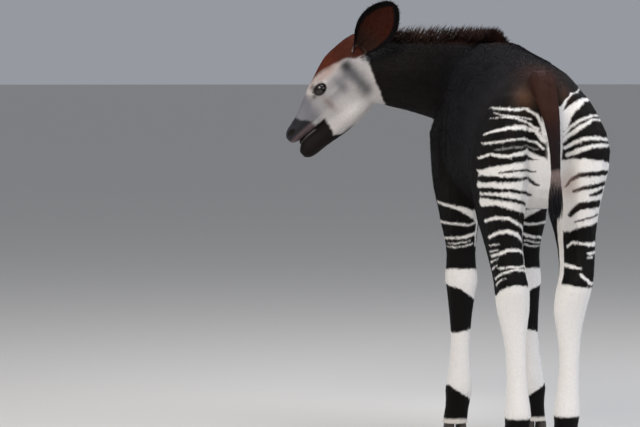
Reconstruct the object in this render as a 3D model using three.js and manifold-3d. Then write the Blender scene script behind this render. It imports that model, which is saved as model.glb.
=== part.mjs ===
// Okapi calf, standing, head turned to its left. Millimetres, +Z up.
// The calf faces -Y, +X is its left side, and its hooves stand on Z = 0.
import * as THREE from 'three';
import { mergeVertices } from 'three/addons/utils/BufferGeometryUtils.js';
import Module from 'manifold-3d';

const wasm = await Module();
wasm.setup();

// Driving dimensions
const seam = 0.3;                   // clear gap between neighbouring parts
const legTopFront = 585;            // height at which a foreleg leaves the chest
const legTopHind = 600;             // height at which a hind leg leaves the thigh
const coronetHeight = 46;           // top of the hooves
const claw = { gap: 4, halfTop: 13, halfSole: 15, front: 24, back: 8 };

const headYaw = 79;                 // head turned to the calf's left, degrees
const headPitch = 43;               // nose below the horizontal, degrees
const headOrigin = new THREE.Vector3(394, -854, 888);   // middle of the head, level with the eyes
const headBack = { along: -155, up: -8, tilt: 0.41 };   // where the head is parted from the neck

const eye = { radius: 19, around: 16, rings: 10, along: 0, up: 0, side: 43, lid: 22.5, openHalfLength: 17, openHalfHeight: 12.5 };
const ear = { length: 172, along: -134, up: 2, side: 45, lean: [-0.92, 0.17, 0.36], rim: 4, cutAt: 14 };
const nostril = { along: 131, up: -30, side: 27, half: [10, 4, 9] };
const mouth = { corner: 68, lips: 119, line: -62.5, cornerLine: -69.5, slit: 2.4, front: 170 };

const neckCut = { top: [-482, 1020], bottom: [-742, 738] };    // side view of the cut: [y, z] at withers and breast
const tailTop = 902;                // height at which the tail leaves the croup

const mane = { rows: 3, perRow: 14, height: 37, width: 37, thick: 6, sink: 10, lean: 0.3 };
const tuft = { locks: 15, top: 670, length: 76, width: 17, thick: 8, ring: 12 };

// Seeded random numbers, so that every build gives the same locks
let seed = 20417;
function random(low = 0, high = 1) {
  seed = (seed * 1664525 + 1013904223) % 4294967296;
  return low + (high - low) * seed / 4294967296;
}

// Smooth value between the rows of a station table, each column on its own
function between(table, t) {
  const last = table.length - 1;
  const place = THREE.MathUtils.clamp(t, 0, 1) * last;
  const i = Math.min(Math.floor(place), last - 1);
  const f = place - i;
  const row = (k) => table[THREE.MathUtils.clamp(k, 0, last)];
  return table[0].map((_, c) => {
    const [p, q, r, s] = [row(i - 1)[c], row(i)[c], row(i + 1)[c], row(i + 2)[c]];
    const slopeIn = (r - p) / 2;
    const slopeOut = (s - q) / 2;
    return q + f * (slopeIn + f * (3 * (r - q) - 2 * slopeIn - slopeOut + f * (2 * (q - r) + slopeIn + slopeOut)));
  });
}

// Point of a rounded section: n of 2 is an ellipse, more is squarer, less is more pointed
function rounded(angle, half, up, down, n = 2, nDown = n) {
  const c = Math.cos(angle);
  const s = Math.sin(angle);
  const power = 2 / (s >= 0 ? n : nDown);
  const across = Math.sign(c) * Math.abs(c) ** power * half;
  const rise = Math.sign(s) * Math.abs(s) ** power * (s >= 0 ? up : down);
  return [across, rise];
}

// Closed form whose rings follow section(t, angle), from the ball's grid of vertices
function loft(section, around, along, middle) {
  const geometry = new THREE.SphereGeometry(1, around, along);
  geometry.deleteAttribute('normal');
  geometry.deleteAttribute('uv');
  const position = geometry.getAttribute('position');
  for (let iy = 0; iy <= along; iy++) {
    const pole = iy === 0 || iy === along;
    const t = THREE.MathUtils.clamp((iy - 1) / (along - 2), 0, 1);
    for (let ix = 0; ix <= around; ix++) {
      const angle = 2 * Math.PI * (ix % around) / around;
      const point = pole ? middle(t) : section(t, angle);
      position.setXYZ(iy * (around + 1) + ix, point.x, point.y, point.z);
    }
  }
  return solidOf(geometry);
}

// Solid of a closed geometry, with its faces turned outwards
function solidOf(geometry) {
  geometry.deleteAttribute('normal');
  geometry.deleteAttribute('uv');
  const merged = mergeVertices(geometry, 1e-4);
  const points = merged.getAttribute('position').array;
  const index = Array.from(merged.getIndex().array);
  // Faces that lie back to back, as where a thin edge closes on itself, cancel out
  const faces = new Map();
  for (let i = 0; i < index.length; i += 3) {
    const face = index.slice(i, i + 3);
    if (new Set(face).size < 3) continue;
    const name = [...face].sort((a, b) => a - b).join();
    if (!faces.delete(name)) faces.set(name, face);
  }
  const kept = [...faces.values()].flat();
  const corner = (k) => new THREE.Vector3().fromArray(points, 3 * k);
  let volume = 0;
  for (const [a, b, c] of faces.values()) {
    volume += corner(a).dot(corner(b).cross(corner(c)));
  }
  if (volume < 0) kept.reverse();
  const mesh = new wasm.Mesh({ numProp: 3, vertProperties: new Float32Array(points), triVerts: new Uint32Array(kept) });
  return new wasm.Manifold(mesh);
}

// The largest closed surface of a solid
function largest(solid) {
  return solid.decompose().reduce((best, piece) => (piece.volume() > best.volume() ? piece : best));
}

function unite(solids) {
  return solids.reduce((whole, piece) => whole.add(piece));
}

// Keeps the side of a plane that its normal points to
function keep(solid, normal, point) {
  const n = normal.clone().normalize();
  return solid.trimByPlane(n.toArray(), n.dot(point));
}

const Z = new THREE.Vector3(0, 0, 1);

// Torso: [y, widest height, half width, top, bottom]
const torsoStations = [
  [-30, 790, 38, 836, 740], [-38, 785, 78, 872, 690], [-58, 765, 118, 906, 642], [-95, 745, 143, 936, 614],
  [-145, 738, 151, 954, 608], [-205, 746, 149, 966, 615], [-280, 758, 145, 978, 622], [-360, 760, 145, 990, 614],
  [-440, 758, 147, 1003, 600], [-510, 758, 146, 1015, 593], [-565, 762, 141, 1016, 592], [-620, 772, 134, 1004, 604],
  [-675, 786, 122, 968, 634], [-720, 800, 98, 920, 680], [-748, 806, 62, 876, 736],
];

function torsoForm() {
  const at = (t) => between(torsoStations, t);
  const section = (t, angle) => {
    const [y, level, half, top, bottom] = at(t);
    const [x, z] = rounded(angle, half, top - level, level - bottom, 2.05, 2.15);
    return new THREE.Vector3(x, y, level + z);
  };
  return loft(section, 30, 28, (t) => new THREE.Vector3(0, at(t)[0], at(t)[1]));
}

// Legs: [z, centre x, half width, front y, back y]
const hindLeg = [
  [880, 60, 48, -190, -52], [820, 75, 60, -235, -18], [760, 86, 67, -260, -4], [700, 88, 67, -270, -2],
  [640, 88, 58, -266, -10], [590, 88, 51, -246, -18], [545, 88, 43, -203, -22], [500, 86, 40, -155, -16],
  [462, 83, 39, -120, -3], [438, 80, 40, -108, 3], [405, 77, 40, -100, -8], [370, 74, 37, -96, -20],
  [333, 71, 30, -92, -29], [287, 67, 24.5, -90, -36], [214, 63, 23.5, -90, -39], [165, 61, 28, -94, -36],
  [135, 60, 31, -98, -33], [105, 60, 28, -101, -41], [72, 61, 27, -110, -53], [44, 62, 30, -119, -57],
];
const foreLeg = [
  [880, 56, 50, -655, -510], [810, 80, 71, -706, -492], [745, 84, 68, -722, -488], [680, 87, 63, -708, -490],
  [630, 88, 57, -688, -492], [590, 88, 50, -662, -498], [550, 86, 47, -640, -510], [515, 84, 40, -624, -524],
  [475, 83, 36.5, -612, -532], [440, 82.5, 38, -609, -532], [412, 82, 41, -610, -528], [385, 83, 36, -606, -531],
  [345, 85, 31, -599, -538], [280, 88, 23.5, -592, -543], [225, 91, 23.5, -590, -543], [164, 94, 29, -594, -539],
  [134, 96, 33, -598, -538], [103, 98, 29, -603, -547], [70, 101, 28, -612, -557], [44, 104, 31, -620, -561],
];
// How each leg stands off its mirror place: sideways at the hoof, inwards at the hock, outwards at the hip
const stance = {
  leg_hind_left: { drift: 0, knock: 0, hip: 0 },
  leg_hind_right: { drift: 4, knock: 13, hip: 14 },
  leg_front_left: { drift: -11, knock: 0, hip: 0 },
  leg_front_right: { drift: -11, knock: 0, hip: 0 },
};
const kneeHeight = 430;             // below this the drift sets in
const hock = { height: 380, spread: 85 };
const hipJoint = { height: 768, spread: 100 };

function legX(name, side, z, x) {
  const { drift, knock, hip } = stance[name];
  const inwards = knock * Math.exp(-(((z - hock.height) / hock.spread) ** 2));
  const outwards = hip * Math.exp(-(((z - hipJoint.height) / hipJoint.spread) ** 2));
  return side * (x - inwards + outwards) + drift * THREE.MathUtils.clamp(1 - z / kneeHeight, 0, 1);
}

// One leg as a form from inside the body to the coronet; grow widens it all round
function legForm(name, stations, side, grow = 0) {
  const at = (t) => between(stations, t);
  const centre = (t) => {
    const [z, x, , front, back] = at(t);
    return new THREE.Vector3(legX(name, side, z, x), (front + back) / 2, z);
  };
  const section = (t, angle) => {
    const [, , half, front, back] = at(t);
    const reach = (back - front) / 2 + grow;
    const [x, y] = rounded(angle, half + grow, reach, reach, 2.15);
    return centre(t).add(new THREE.Vector3(x, y, 0));
  };
  return loft(section, 16, 28, centre);
}

// One half of the cloven hoof: a claw with a pointed toe and a flat sole
function clawForm(name, stations, side, half) {
  const [, x, , front, back] = between(stations, 1);
  const coronetX = legX(name, side, coronetHeight, x);
  const middle = (t) => {
    const outward = claw.gap / 2 + THREE.MathUtils.lerp(claw.halfTop, claw.halfSole, t);
    const toe = front + 4 - claw.front * t;
    const heel = back - 4 + claw.back * t * 0.3;
    return { x: coronetX + half * outward, toe, heel, z: (coronetHeight - seam) * (1 - t) };
  };
  const section = (t, angle) => {
    const { x: cx, toe, heel, z } = middle(t);
    const width = THREE.MathUtils.lerp(claw.halfTop, claw.halfSole, t);
    const split = THREE.MathUtils.lerp(toe, heel, 0.6);
    const [across, forward] = rounded(angle, width, split - toe, heel - split, 1.55, 2.3);
    return new THREE.Vector3(cx + across, split - forward, z);
  };
  return loft(section, 10, 5, (t) => new THREE.Vector3(middle(t).x, (middle(t).toe + middle(t).heel) / 2, middle(t).z));
}

// Neck: [x, y, z of the middle, half width, up, down], from inside the chest to inside the head
const neckStations = [
  [-2, -478, 872, 92, 126, 150], [0, -560, 885, 100, 118, 150], [16, -632, 893, 94, 124, 142], [54, -700, 905, 80, 114, 126],
  [112, -757, 917, 66, 103, 107], [176, -797, 926, 58, 96, 94], [236, -820, 933, 54, 88, 86],
  [290, -832, 938, 44, 64, 66],
];
const neckPath = new THREE.CatmullRomCurve3(neckStations.map(([x, y, z]) => new THREE.Vector3(x, y, z)));

function neckAcross(t) {
  const tangent = neckPath.getTangent(THREE.MathUtils.clamp(t, 0, 1));
  return new THREE.Vector3().crossVectors(tangent, Z).normalize();
}

function neckForm() {
  const at = (t) => between(neckStations, t);
  const middle = (t) => new THREE.Vector3(...at(t).slice(0, 3));
  const section = (t, angle) => {
    const [, , , half, up, down] = at(t);
    const [across, rise] = rounded(angle, half, up, down, 1.75, 2.1);
    return middle(t).addScaledVector(neckAcross(t), across).addScaledVector(Z, rise);
  };
  return loft(section, 24, 20, middle);
}

// One flat tapered lock: root, direction of growth, where its flat side faces, and the way its tip bends
function lockForm(root, grow, face, bend, length, width, thick) {
  const across = new THREE.Vector3().crossVectors(grow, face).normalize();
  const shape = [[0, 0.8], [0.35, 1], [0.7, 0.72], [1, 0.16]];
  const middle = (t) => {
    const [s] = between(shape, t);
    return root.clone().addScaledVector(grow, length * s).addScaledVector(bend, length * s * s);
  };
  const section = (t, angle) => {
    const [, size] = between(shape, t);
    return middle(t)
      .addScaledVector(across, Math.cos(angle) * width / 2 * size)
      .addScaledVector(face, Math.sin(angle) * thick / 2 * size);
  };
  return loft(section, 4, 5, middle);
}

// Short upright mane in rows along the crest of the neck
function maneLocks() {
  const locks = [];
  for (let row = 0; row < mane.rows; row++) {
    const sideways = row - (mane.rows - 1) / 2;
    for (let i = 0; i < mane.perRow; i++) {
      const t = THREE.MathUtils.lerp(0.02, 0.88, (i + 0.5 * (row % 2)) / (mane.perRow - 0.5));
      const [x, y, z, half, up] = between(neckStations, t);
      const back = neckPath.getTangent(t).negate();
      const across = neckAcross(t);
      const offset = sideways * 9;
      const crest = z + up * (1 - (Math.abs(offset) / half) ** 1.75) ** (1 / 1.75);
      const root = new THREE.Vector3(x, y, crest - mane.sink).addScaledVector(across, offset);
      const grow = Z.clone().addScaledVector(across, 0.25 * sideways).addScaledVector(back, mane.lean).normalize();
      const bend = back.clone().multiplyScalar(random(0.1, 0.3));
      const length = (mane.height + mane.sink) * random(0.85, 1.05);
      locks.push(lockForm(root, grow, across, bend, length, mane.width * random(0.85, 1.15), mane.thick));
    }
  }
  return locks;
}

// The head's own axes: along to the nose, up to the forehead, side to the calf's left
const yaw = THREE.MathUtils.degToRad(headYaw);
const pitch = THREE.MathUtils.degToRad(headPitch);
const headAlong = new THREE.Vector3(Math.sin(yaw) * Math.cos(pitch), -Math.cos(yaw) * Math.cos(pitch), -Math.sin(pitch));
const headUp = new THREE.Vector3(Math.sin(yaw) * Math.sin(pitch), -Math.cos(yaw) * Math.sin(pitch), Math.cos(pitch));
const headSide = new THREE.Vector3().crossVectors(headUp, headAlong);
const headMatrix = new THREE.Matrix4().makeBasis(headAlong, headUp, headSide).setPosition(headOrigin);

function headPoint(along, up, side) {
  return new THREE.Vector3(along, up, side).applyMatrix4(headMatrix);
}

function headDirection(along, up, side) {
  return new THREE.Vector3(along, up, side).transformDirection(headMatrix);
}

// Skull and upper jaw: [along, top, widest level, bottom, half width]
const skullStations = [
  [-178, 28, -14, -62, 30], [-162, 47, -8, -92, 46], [-135, 54, -4, -112, 54], [-105, 56, -2, -122, 58],
  [-75, 56, 0, -126, 60], [-45, 50, 0, -122, 61], [-15, 39, -2, -112, 60], [15, 28, -8, -100, 54],
  [42, 17, -16, -88, 46], [68, 5, -22, -76, 39], [92, -6, -30, -66, 35], [115, -12, -34, -61, 34.5],
  [134, -16, -36, -58.5, 33], [146, -23, -38, -54, 26], [152, -31, -40, -48, 14],
];
// Lower jaw: [along, top, widest level, bottom, half width]
const jawStations = [
  [-95, -50, -80, -116, 30], [-60, -58, -90, -127, 40], [-20, -62, -95, -129, 40], [20, -64, -98, -127, 35],
  [55, -66, -98, -122, 29], [85, -65, -95, -118, 26], [110, -64, -92, -116, 25], [130, -67, -92, -113, 24],
  [143, -74, -92, -108, 19], [151, -82, -92, -100, 10],
];

function headLoft(stations, around, along, n, nDown) {
  const at = (t) => between(stations, t);
  const section = (t, angle) => {
    const [forward, top, level, bottom, half] = at(t);
    const [side, rise] = rounded(angle, half, top - level, level - bottom, n, nDown);
    return headPoint(forward, level + rise, side);
  };
  return loft(section, around, along, (t) => headPoint(at(t)[0], at(t)[2], 0));
}

function ball(radius, around, along, place, stretch = [1, 1, 1]) {
  const geometry = new THREE.SphereGeometry(radius, around, along);
  geometry.scale(...stretch);
  geometry.applyMatrix4(headMatrix.clone().setPosition(place));
  return solidOf(geometry);
}

// Flat outline in the head's along and up directions, run right through from side to side
function throughHead(outline, from, to) {
  const geometry = new THREE.ExtrudeGeometry(outline, { depth: to - from, bevelEnabled: false, curveSegments: 10 });
  geometry.translate(0, 0, from);
  geometry.applyMatrix4(headMatrix);
  return solidOf(geometry);
}

function mouthOpening() {
  const outline = new THREE.Shape([
    new THREE.Vector2(mouth.corner, mouth.cornerLine),
    new THREE.Vector2((mouth.corner + mouth.lips) / 2, mouth.line - 3.5 - mouth.slit / 2),
    new THREE.Vector2(mouth.lips, mouth.line - mouth.slit / 2),
    new THREE.Vector2(mouth.front, mouth.line - 14),
    new THREE.Vector2(mouth.front, mouth.line + 7),
    new THREE.Vector2(mouth.lips, mouth.line + mouth.slit / 2),
    new THREE.Vector2((mouth.corner + mouth.lips) / 2, mouth.line - 3.5 + mouth.slit / 2),
  ]);
  return throughHead(outline, -80, 80);
}

function eyeOpening(side) {
  const outline = new THREE.Shape().absellipse(eye.along, eye.up, eye.openHalfLength, eye.openHalfHeight, 0, 2 * Math.PI);
  const [near, far] = [eye.side + 3, eye.side + 40];
  return side > 0 ? throughHead(outline, near, far) : throughHead(outline, -far, -near);
}

// Ear: a cupped leaf on a short round root, its hollow facing outwards and forwards
function earForm(side, grow = 0) {
  const lean = headDirection(ear.lean[0], ear.lean[1], ear.lean[2] * side).normalize();
  const open = headDirection(0.25, 0, side);
  open.addScaledVector(lean, -open.dot(lean)).normalize();
  const across = new THREE.Vector3().crossVectors(lean, open).multiplyScalar(side);
  const root = headPoint(ear.along, ear.up, ear.side * side);
  // [share of the length, half of the blade's width round its curve, half angle of the curve]
  const stations = [
    [0, 42, 2.4], [0.14, 47, 1.95], [0.3, 55, 1.35], [0.48, 60, 1], [0.66, 57, 0.88], [0.82, 44, 0.8], [0.94, 25, 0.7],
    [0.99, 10, 0.5],
  ];
  const middle = (t) => root.clone().addScaledVector(lean, ear.length * between(stations, t)[0]);
  const section = (t, angle) => {
    const [, halfArc, bow] = between(stations, t);
    const radius = halfArc / bow;
    const turn = (bow + grow / radius) * Math.cos(angle);
    const thin = Math.min(1, 6 * t, 6 * (1 - t));
    const wall = thin * (ear.rim / 2 + grow) * Math.sign(Math.sin(angle)) * Math.abs(Math.sin(angle)) ** 0.5;
    return middle(t)
      .addScaledVector(across, (radius + wall) * Math.sin(turn))
      .addScaledVector(open, radius * Math.cos(bow * 0.5) - (radius + wall) * Math.cos(turn));
  };
  const blade = loft(section, 18, 13, (t) => section(t, Math.PI / 2).lerp(section(t, -Math.PI / 2), 0.5));
  const rootStations = [[-34, 18], [-10, 18], [12, 15], [26, 9], [33, 4]];
  const rootMiddle = (t) => root.clone().addScaledVector(lean, between(rootStations, t)[0]).addScaledVector(open, -6);
  const rootSection = (t, angle) => {
    const radius = between(rootStations, t)[1] + grow;
    return rootMiddle(t).addScaledVector(across, radius * Math.cos(angle)).addScaledVector(open, radius * Math.sin(angle));
  };
  const whole = blade.add(loft(rootSection, 12, 7, rootMiddle));
  const cut = root.clone().addScaledVector(lean, ear.cutAt);
  return {
    blade: keep(whole, lean, cut.clone().addScaledVector(lean, grow > 0 ? seam / 5 : seam)),
    root: keep(whole, lean.clone().negate(), cut),
  };
}
const ears = { left: earForm(1), right: earForm(-1) };
const earRoom = earForm(1, seam).blade.add(earForm(-1, seam).blade);

const backNormal = headDirection(1, headBack.tilt, 0);
const backPoint = headPoint(headBack.along, headBack.up, 0);

function headParts(neck) {
  const skull = headLoft(skullStations, 26, 28, 2.2, 1.8);
  const jaw = headLoft(jawStations, 16, 16, 2.2, 2);
  let head = keep(unite([skull, jaw, neck]), backNormal, backPoint);
  const eyes = {};
  for (const [name, side] of [['left', 1], ['right', -1]]) {
    const place = headPoint(eye.along, eye.up, side * eye.side);
    head = head.add(ball(eye.lid, 16, 12, place, [1, 0.92, 1])).add(ears[name].root);
    head = head.subtract(eyeOpening(side)).subtract(ball(eye.radius + seam, eye.around, eye.rings, place));
    const pit = headPoint(nostril.along, nostril.up, side * nostril.side);
    head = head.subtract(ball(1, 10, 6, pit, nostril.half));
    eyes[name] = ball(eye.radius, eye.around, eye.rings, place);
  }
  head = head.subtract(mouthOpening()).subtract(earRoom);
  return { head, eyes };
}

// Tail: [z, x, y, half width, half depth]
const tailStations = [
  [938, 8, -72, 30, 26], [905, 8, -44, 33, 24], [870, 7, -20, 30, 18], [835, 3, 0, 24, 15], [790, -2, 12, 18, 13],
  [735, -5, 17, 14, 12], [690, -6, 17, 13, 11], [655, -6, 17, 11, 10],
];

function tailForm(grow = 0) {
  const at = (t) => between(tailStations, t);
  const middle = (t) => new THREE.Vector3(at(t)[1], at(t)[2], at(t)[0]);
  const section = (t, angle) => {
    const [, , , half, depth] = at(t);
    const [x, y] = rounded(angle, half + grow, depth + grow, depth + grow, 2);
    return middle(t).add(new THREE.Vector3(x, y, 0));
  };
  return loft(section, 12, 12, middle);
}

// Tuft of long locks round the end of the tail
function tuftForm() {
  const [z, x, y] = between(tailStations, 1);
  const core = loft(
    (t, angle) => new THREE.Vector3(x + 13 * Math.cos(angle), y + 12 * Math.sin(angle), THREE.MathUtils.lerp(tuft.top + 14, z - 26, t)),
    12, 5, (t) => new THREE.Vector3(x, y, THREE.MathUtils.lerp(tuft.top + 14, z - 26, t)),
  );
  const locks = [core];
  for (let i = 0; i < tuft.locks; i++) {
    const turn = i * 2.4;
    const out = new THREE.Vector3(Math.cos(turn), Math.sin(turn), 0);
    const top = tuft.top - 26 * (i / tuft.locks);
    const root = new THREE.Vector3(x, y, top).addScaledVector(out, tuft.ring - 2);
    const grow = Z.clone().negate().addScaledVector(out, random(0.06, 0.13)).normalize();
    const bend = out.clone().multiplyScalar(-random(0.1, 0.16));
    const length = tuft.length * random(0.86, 1.02) - 26 * (i / tuft.locks) * 0.2;
    locks.push(lockForm(root, grow, out, bend, length, tuft.width * random(0.85, 1.15), tuft.thick));
  }
  return unite(locks);
}

const paint = (colour, roughness) => new THREE.MeshStandardMaterial({ color: colour, roughness, metalness: 0 });
const materials = {
  coat: paint('#1b1513', 0.75),
  stocking: paint('#d9d5cd', 0.85),
  face: paint('#b3aaa4', 0.8),
  ear: paint('#2b1711', 0.8),
  eye: paint('#140d0b', 0.15),
  hoof: paint('#39342f', 0.55),
  tail: paint('#47281b', 0.75),
  tuft: paint('#232327', 0.8),
};

const calf = new THREE.Group();

function addPart(name, solid, material) {
  const { vertProperties, triVerts } = largest(solid).getMesh();
  const geometry = new THREE.BufferGeometry();
  geometry.setAttribute('position', new THREE.BufferAttribute(new Float32Array(vertProperties), 3));
  geometry.setIndex(new THREE.BufferAttribute(new Uint32Array(triVerts), 1));
  const part = new THREE.Mesh(geometry, material);
  part.name = name;
  calf.add(part);
}

// Torso, neck and head, parted by thin cuts
const legs = [
  ['leg_hind_left', hindLeg, 1, legTopHind], ['leg_hind_right', hindLeg, -1, legTopHind],
  ['leg_front_left', foreLeg, 1, legTopFront], ['leg_front_right', foreLeg, -1, legTopFront],
];
const neckWhole = neckForm();
const neckFront = backPoint.clone().addScaledVector(backNormal, -seam);
const neckBehindHead = keep(neckWhole, backNormal.clone().negate(), neckFront);

let trunk = unite([torsoForm(), neckBehindHead]);
for (const [name, stations, side, top] of legs) {
  trunk = trunk.add(keep(legForm(name, stations, side), Z, new THREE.Vector3(0, 0, top)));
}
for (const [name, stations, side, top] of legs) {
  const below = keep(legForm(name, stations, side, seam), Z.clone().negate(), new THREE.Vector3(0, 0, top));
  trunk = trunk.subtract(below);
}
const tailWhole = tailForm();
const tailCutPoint = new THREE.Vector3(0, 0, tailTop);
const tailNormal = new THREE.Vector3(0, 0.55, -0.83);
trunk = trunk.add(keep(tailWhole, tailNormal.clone().negate(), tailCutPoint));
trunk = trunk.subtract(keep(tailForm(seam), tailNormal, tailCutPoint));

const cutNormal = new THREE.Vector3(0, neckCut.bottom[1] - neckCut.top[1], neckCut.top[0] - neckCut.bottom[0]).normalize();
const cutPoint = new THREE.Vector3(0, ...neckCut.top);
addPart('torso', keep(trunk, cutNormal.clone().negate(), cutPoint), materials.coat);

const neckSide = keep(unite([trunk, ...maneLocks()]), backNormal.clone().negate(), neckFront).subtract(earRoom);
addPart('neck', keep(neckSide, cutNormal, cutPoint.clone().addScaledVector(cutNormal, seam)), materials.coat);

const { head, eyes } = headParts(neckWhole);
addPart('head', head, materials.face);
for (const side of ['left', 'right']) {
  addPart(`eye_${side}`, eyes[side], materials.eye);
  addPart(`ear_${side}`, ears[side].blade, materials.ear);
}

for (const [name, stations, side, top] of legs) {
  let leg = keep(legForm(name, stations, side), Z.clone().negate(), new THREE.Vector3(0, 0, top - seam));
  leg = keep(leg, Z, new THREE.Vector3(0, 0, coronetHeight));
  addPart(name, leg, materials.stocking);
  for (const [place, half] of [['outer', side], ['inner', -side]]) {
    addPart(name.replace('leg', 'hoof') + `_${place}`, clawForm(name, stations, side, half), materials.hoof);
  }
}

const tuftCut = new THREE.Vector3(0, 0, tuft.top + 8);
const tailBelow = keep(tailWhole, tailNormal, tailCutPoint.clone().addScaledVector(tailNormal, seam));
addPart('tail', keep(tailBelow, Z, tuftCut), materials.tail);
addPart('tail_tuft', keep(tuftForm(), Z.clone().negate(), new THREE.Vector3(0, 0, tuftCut.z - seam)), materials.tuft);

// The origin is on the floor under the middle of the whole calf
const box = new THREE.Box3().setFromObject(calf);
const middle = box.getCenter(new THREE.Vector3());
calf.position.set(-middle.x, -middle.y, -box.min.z);

export default calf;
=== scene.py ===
import math
import time

import bmesh
import bpy
import numpy as np
from mathutils import Euler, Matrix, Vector


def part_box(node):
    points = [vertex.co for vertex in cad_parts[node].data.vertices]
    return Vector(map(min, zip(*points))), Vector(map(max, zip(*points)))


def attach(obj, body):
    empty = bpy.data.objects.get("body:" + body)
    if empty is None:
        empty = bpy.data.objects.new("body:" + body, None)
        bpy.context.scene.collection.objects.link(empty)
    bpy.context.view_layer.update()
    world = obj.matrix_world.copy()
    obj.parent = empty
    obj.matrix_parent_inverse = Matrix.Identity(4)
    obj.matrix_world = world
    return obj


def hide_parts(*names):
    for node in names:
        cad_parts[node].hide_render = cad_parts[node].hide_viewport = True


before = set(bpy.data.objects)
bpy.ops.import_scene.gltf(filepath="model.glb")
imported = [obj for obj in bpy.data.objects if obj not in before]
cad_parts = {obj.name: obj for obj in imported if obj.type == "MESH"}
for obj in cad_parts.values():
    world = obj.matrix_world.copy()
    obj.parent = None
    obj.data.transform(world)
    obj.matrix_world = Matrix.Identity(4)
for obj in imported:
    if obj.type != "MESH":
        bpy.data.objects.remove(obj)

started = time.time()


def say(text):
    print(f"{time.time() - started:6.1f} s  {text}", flush=True)


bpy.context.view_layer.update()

# The trunk's frame, in mm: x from the trunk's middle to the calf's left, y from the rear of the buttocks,
# z from the floor. The two eyes stand on either side of the head's origin, which places it.
headOrigin = np.array([394.0, -854.0, 888.0])
eyeCorners = [np.array(corner) for name in ("eye_left", "eye_right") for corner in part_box(name)]
trunkOrigin = sum(eyeCorners) / 4 - headOrigin / 1000


def toRow(points):
    return np.asarray(points, float) / 1000 + trunkOrigin


def toTrunk(points):
    return (np.asarray(points, float) - trunkOrigin) * 1000


# The head's own axes: along to the nose, up to the forehead, side to the calf's left
yaw, pitch = math.radians(79), math.radians(43)
headAlong = np.array([math.sin(yaw) * math.cos(pitch), -math.cos(yaw) * math.cos(pitch), -math.sin(pitch)])
headUp = np.array([math.sin(yaw) * math.sin(pitch), -math.cos(yaw) * math.sin(pitch), math.cos(pitch)])
headSide = np.cross(headUp, headAlong)
headAxes = np.array([headAlong, headUp, headSide])


def toHead(points):
    return (np.asarray(points, float) - headOrigin) @ headAxes.T


def fromHead(points):
    return np.asarray(points, float) @ headAxes + headOrigin


# How far a place lies ahead of the border between neck and head, in mm
def aheadOfNeck(inHead):
    return inHead[:, 0] + 0.41 * inHead[:, 1] + 155


# Small tools
def linear(hexColour):
    def channel(value):
        value /= 255
        return value / 12.92 if value <= 0.04045 else ((value + 0.055) / 1.055) ** 2.4
    return np.array([channel(int(hexColour[k:k + 2], 16)) for k in (1, 3, 5)] + [1.0])


def smoothStep(low, high, value):
    t = np.clip((value - low) / (high - low), 0, 1)
    return t * t * (3 - 2 * t)


def nearness(points, centre, full, none):
    return 1 - smoothStep(full, none, np.linalg.norm(points - np.array(centre), axis=1))


def blob(points, centre, reach):
    return np.exp(-(((points - np.array(centre)) / np.array(reach)) ** 2).sum(axis=1))


def unit(vectors):
    return vectors / np.maximum(np.linalg.norm(vectors, axis=-1, keepdims=True), 1e-9)


def readPoints(mesh):
    co = np.empty(len(mesh.vertices) * 3)
    mesh.vertices.foreach_get("co", co)
    return co.reshape(-1, 3)


def writePoints(mesh, points):
    mesh.vertices.foreach_set("co", np.asarray(points, float).ravel())
    mesh.update()


def readNormals(mesh):
    normals = np.empty(len(mesh.vertices) * 3, np.float32)
    mesh.vertex_normals.foreach_get("vector", normals)
    return normals.reshape(-1, 3).astype(float)


def writeAttribute(mesh, name, kind, values):
    attribute = mesh.attributes.get(name) or mesh.attributes.new(name, kind, "POINT")
    field = {"FLOAT": "value", "FLOAT_VECTOR": "vector", "FLOAT_COLOR": "color"}[kind]
    attribute.data.foreach_set(field, np.asarray(values, np.float32).ravel())


def makeObject(name, mesh):
    obj = bpy.data.objects.new(name, mesh)
    bpy.context.scene.collection.objects.link(obj)
    return obj


def meshOf(name, points, faces):
    mesh = bpy.data.meshes.new(name)
    mesh.from_pydata([tuple(p) for p in np.asarray(points, float)], [], [tuple(f) for f in faces])
    mesh.update()
    return mesh


def settle(obj):
    bpy.context.view_layer.update()
    graph = bpy.context.evaluated_depsgraph_get()
    mesh = bpy.data.meshes.new_from_object(
        obj.evaluated_get(graph), preserve_all_data_layers=True, depsgraph=graph)
    old = obj.data
    obj.modifiers.clear()
    obj.data = mesh
    bpy.data.meshes.remove(old)
    return mesh


def fused(obj, voxel):
    fuse = obj.modifiers.new("fuse", "REMESH")
    fuse.mode = "VOXEL"
    fuse.voxel_size = voxel
    return settle(obj)


def smoothShade(mesh):
    mesh.polygons.foreach_set("use_smooth", [True] * len(mesh.polygons))


# Smoothing: each round draws points to the mean of their neighbours, then springs them back
def relaxed(mesh, points, rounds, weight, spring=-0.52):
    edges = np.empty(len(mesh.edges) * 2, np.int32)
    mesh.edges.foreach_get("vertices", edges)
    a, b = edges.reshape(-1, 2).T
    count = np.bincount(a, minlength=len(points)) + np.bincount(b, minlength=len(points))
    count = np.maximum(count, 1)[:, None]
    for step in range(rounds * 2):
        total = np.empty_like(points)
        for axis in range(3):
            total[:, axis] = np.bincount(a, points[b, axis], len(points))
            total[:, axis] += np.bincount(b, points[a, axis], len(points))
        factor = 0.5 if step % 2 == 0 else spring
        points = points + factor * weight[:, None] * (total / count - points)
    return points


# Copies of the CAD nodes, welded, as starting shapes
def copyOf(*names):
    whole = bmesh.new()
    for name in names:
        whole.from_mesh(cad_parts[name].data)
    bmesh.ops.remove_doubles(whole, verts=whole.verts, dist=1e-5)
    bmesh.ops.recalc_face_normals(whole, faces=whole.faces)
    mesh = bpy.data.meshes.new("copy of " + names[0])
    whole.to_mesh(mesh)
    whole.free()
    return mesh


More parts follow.
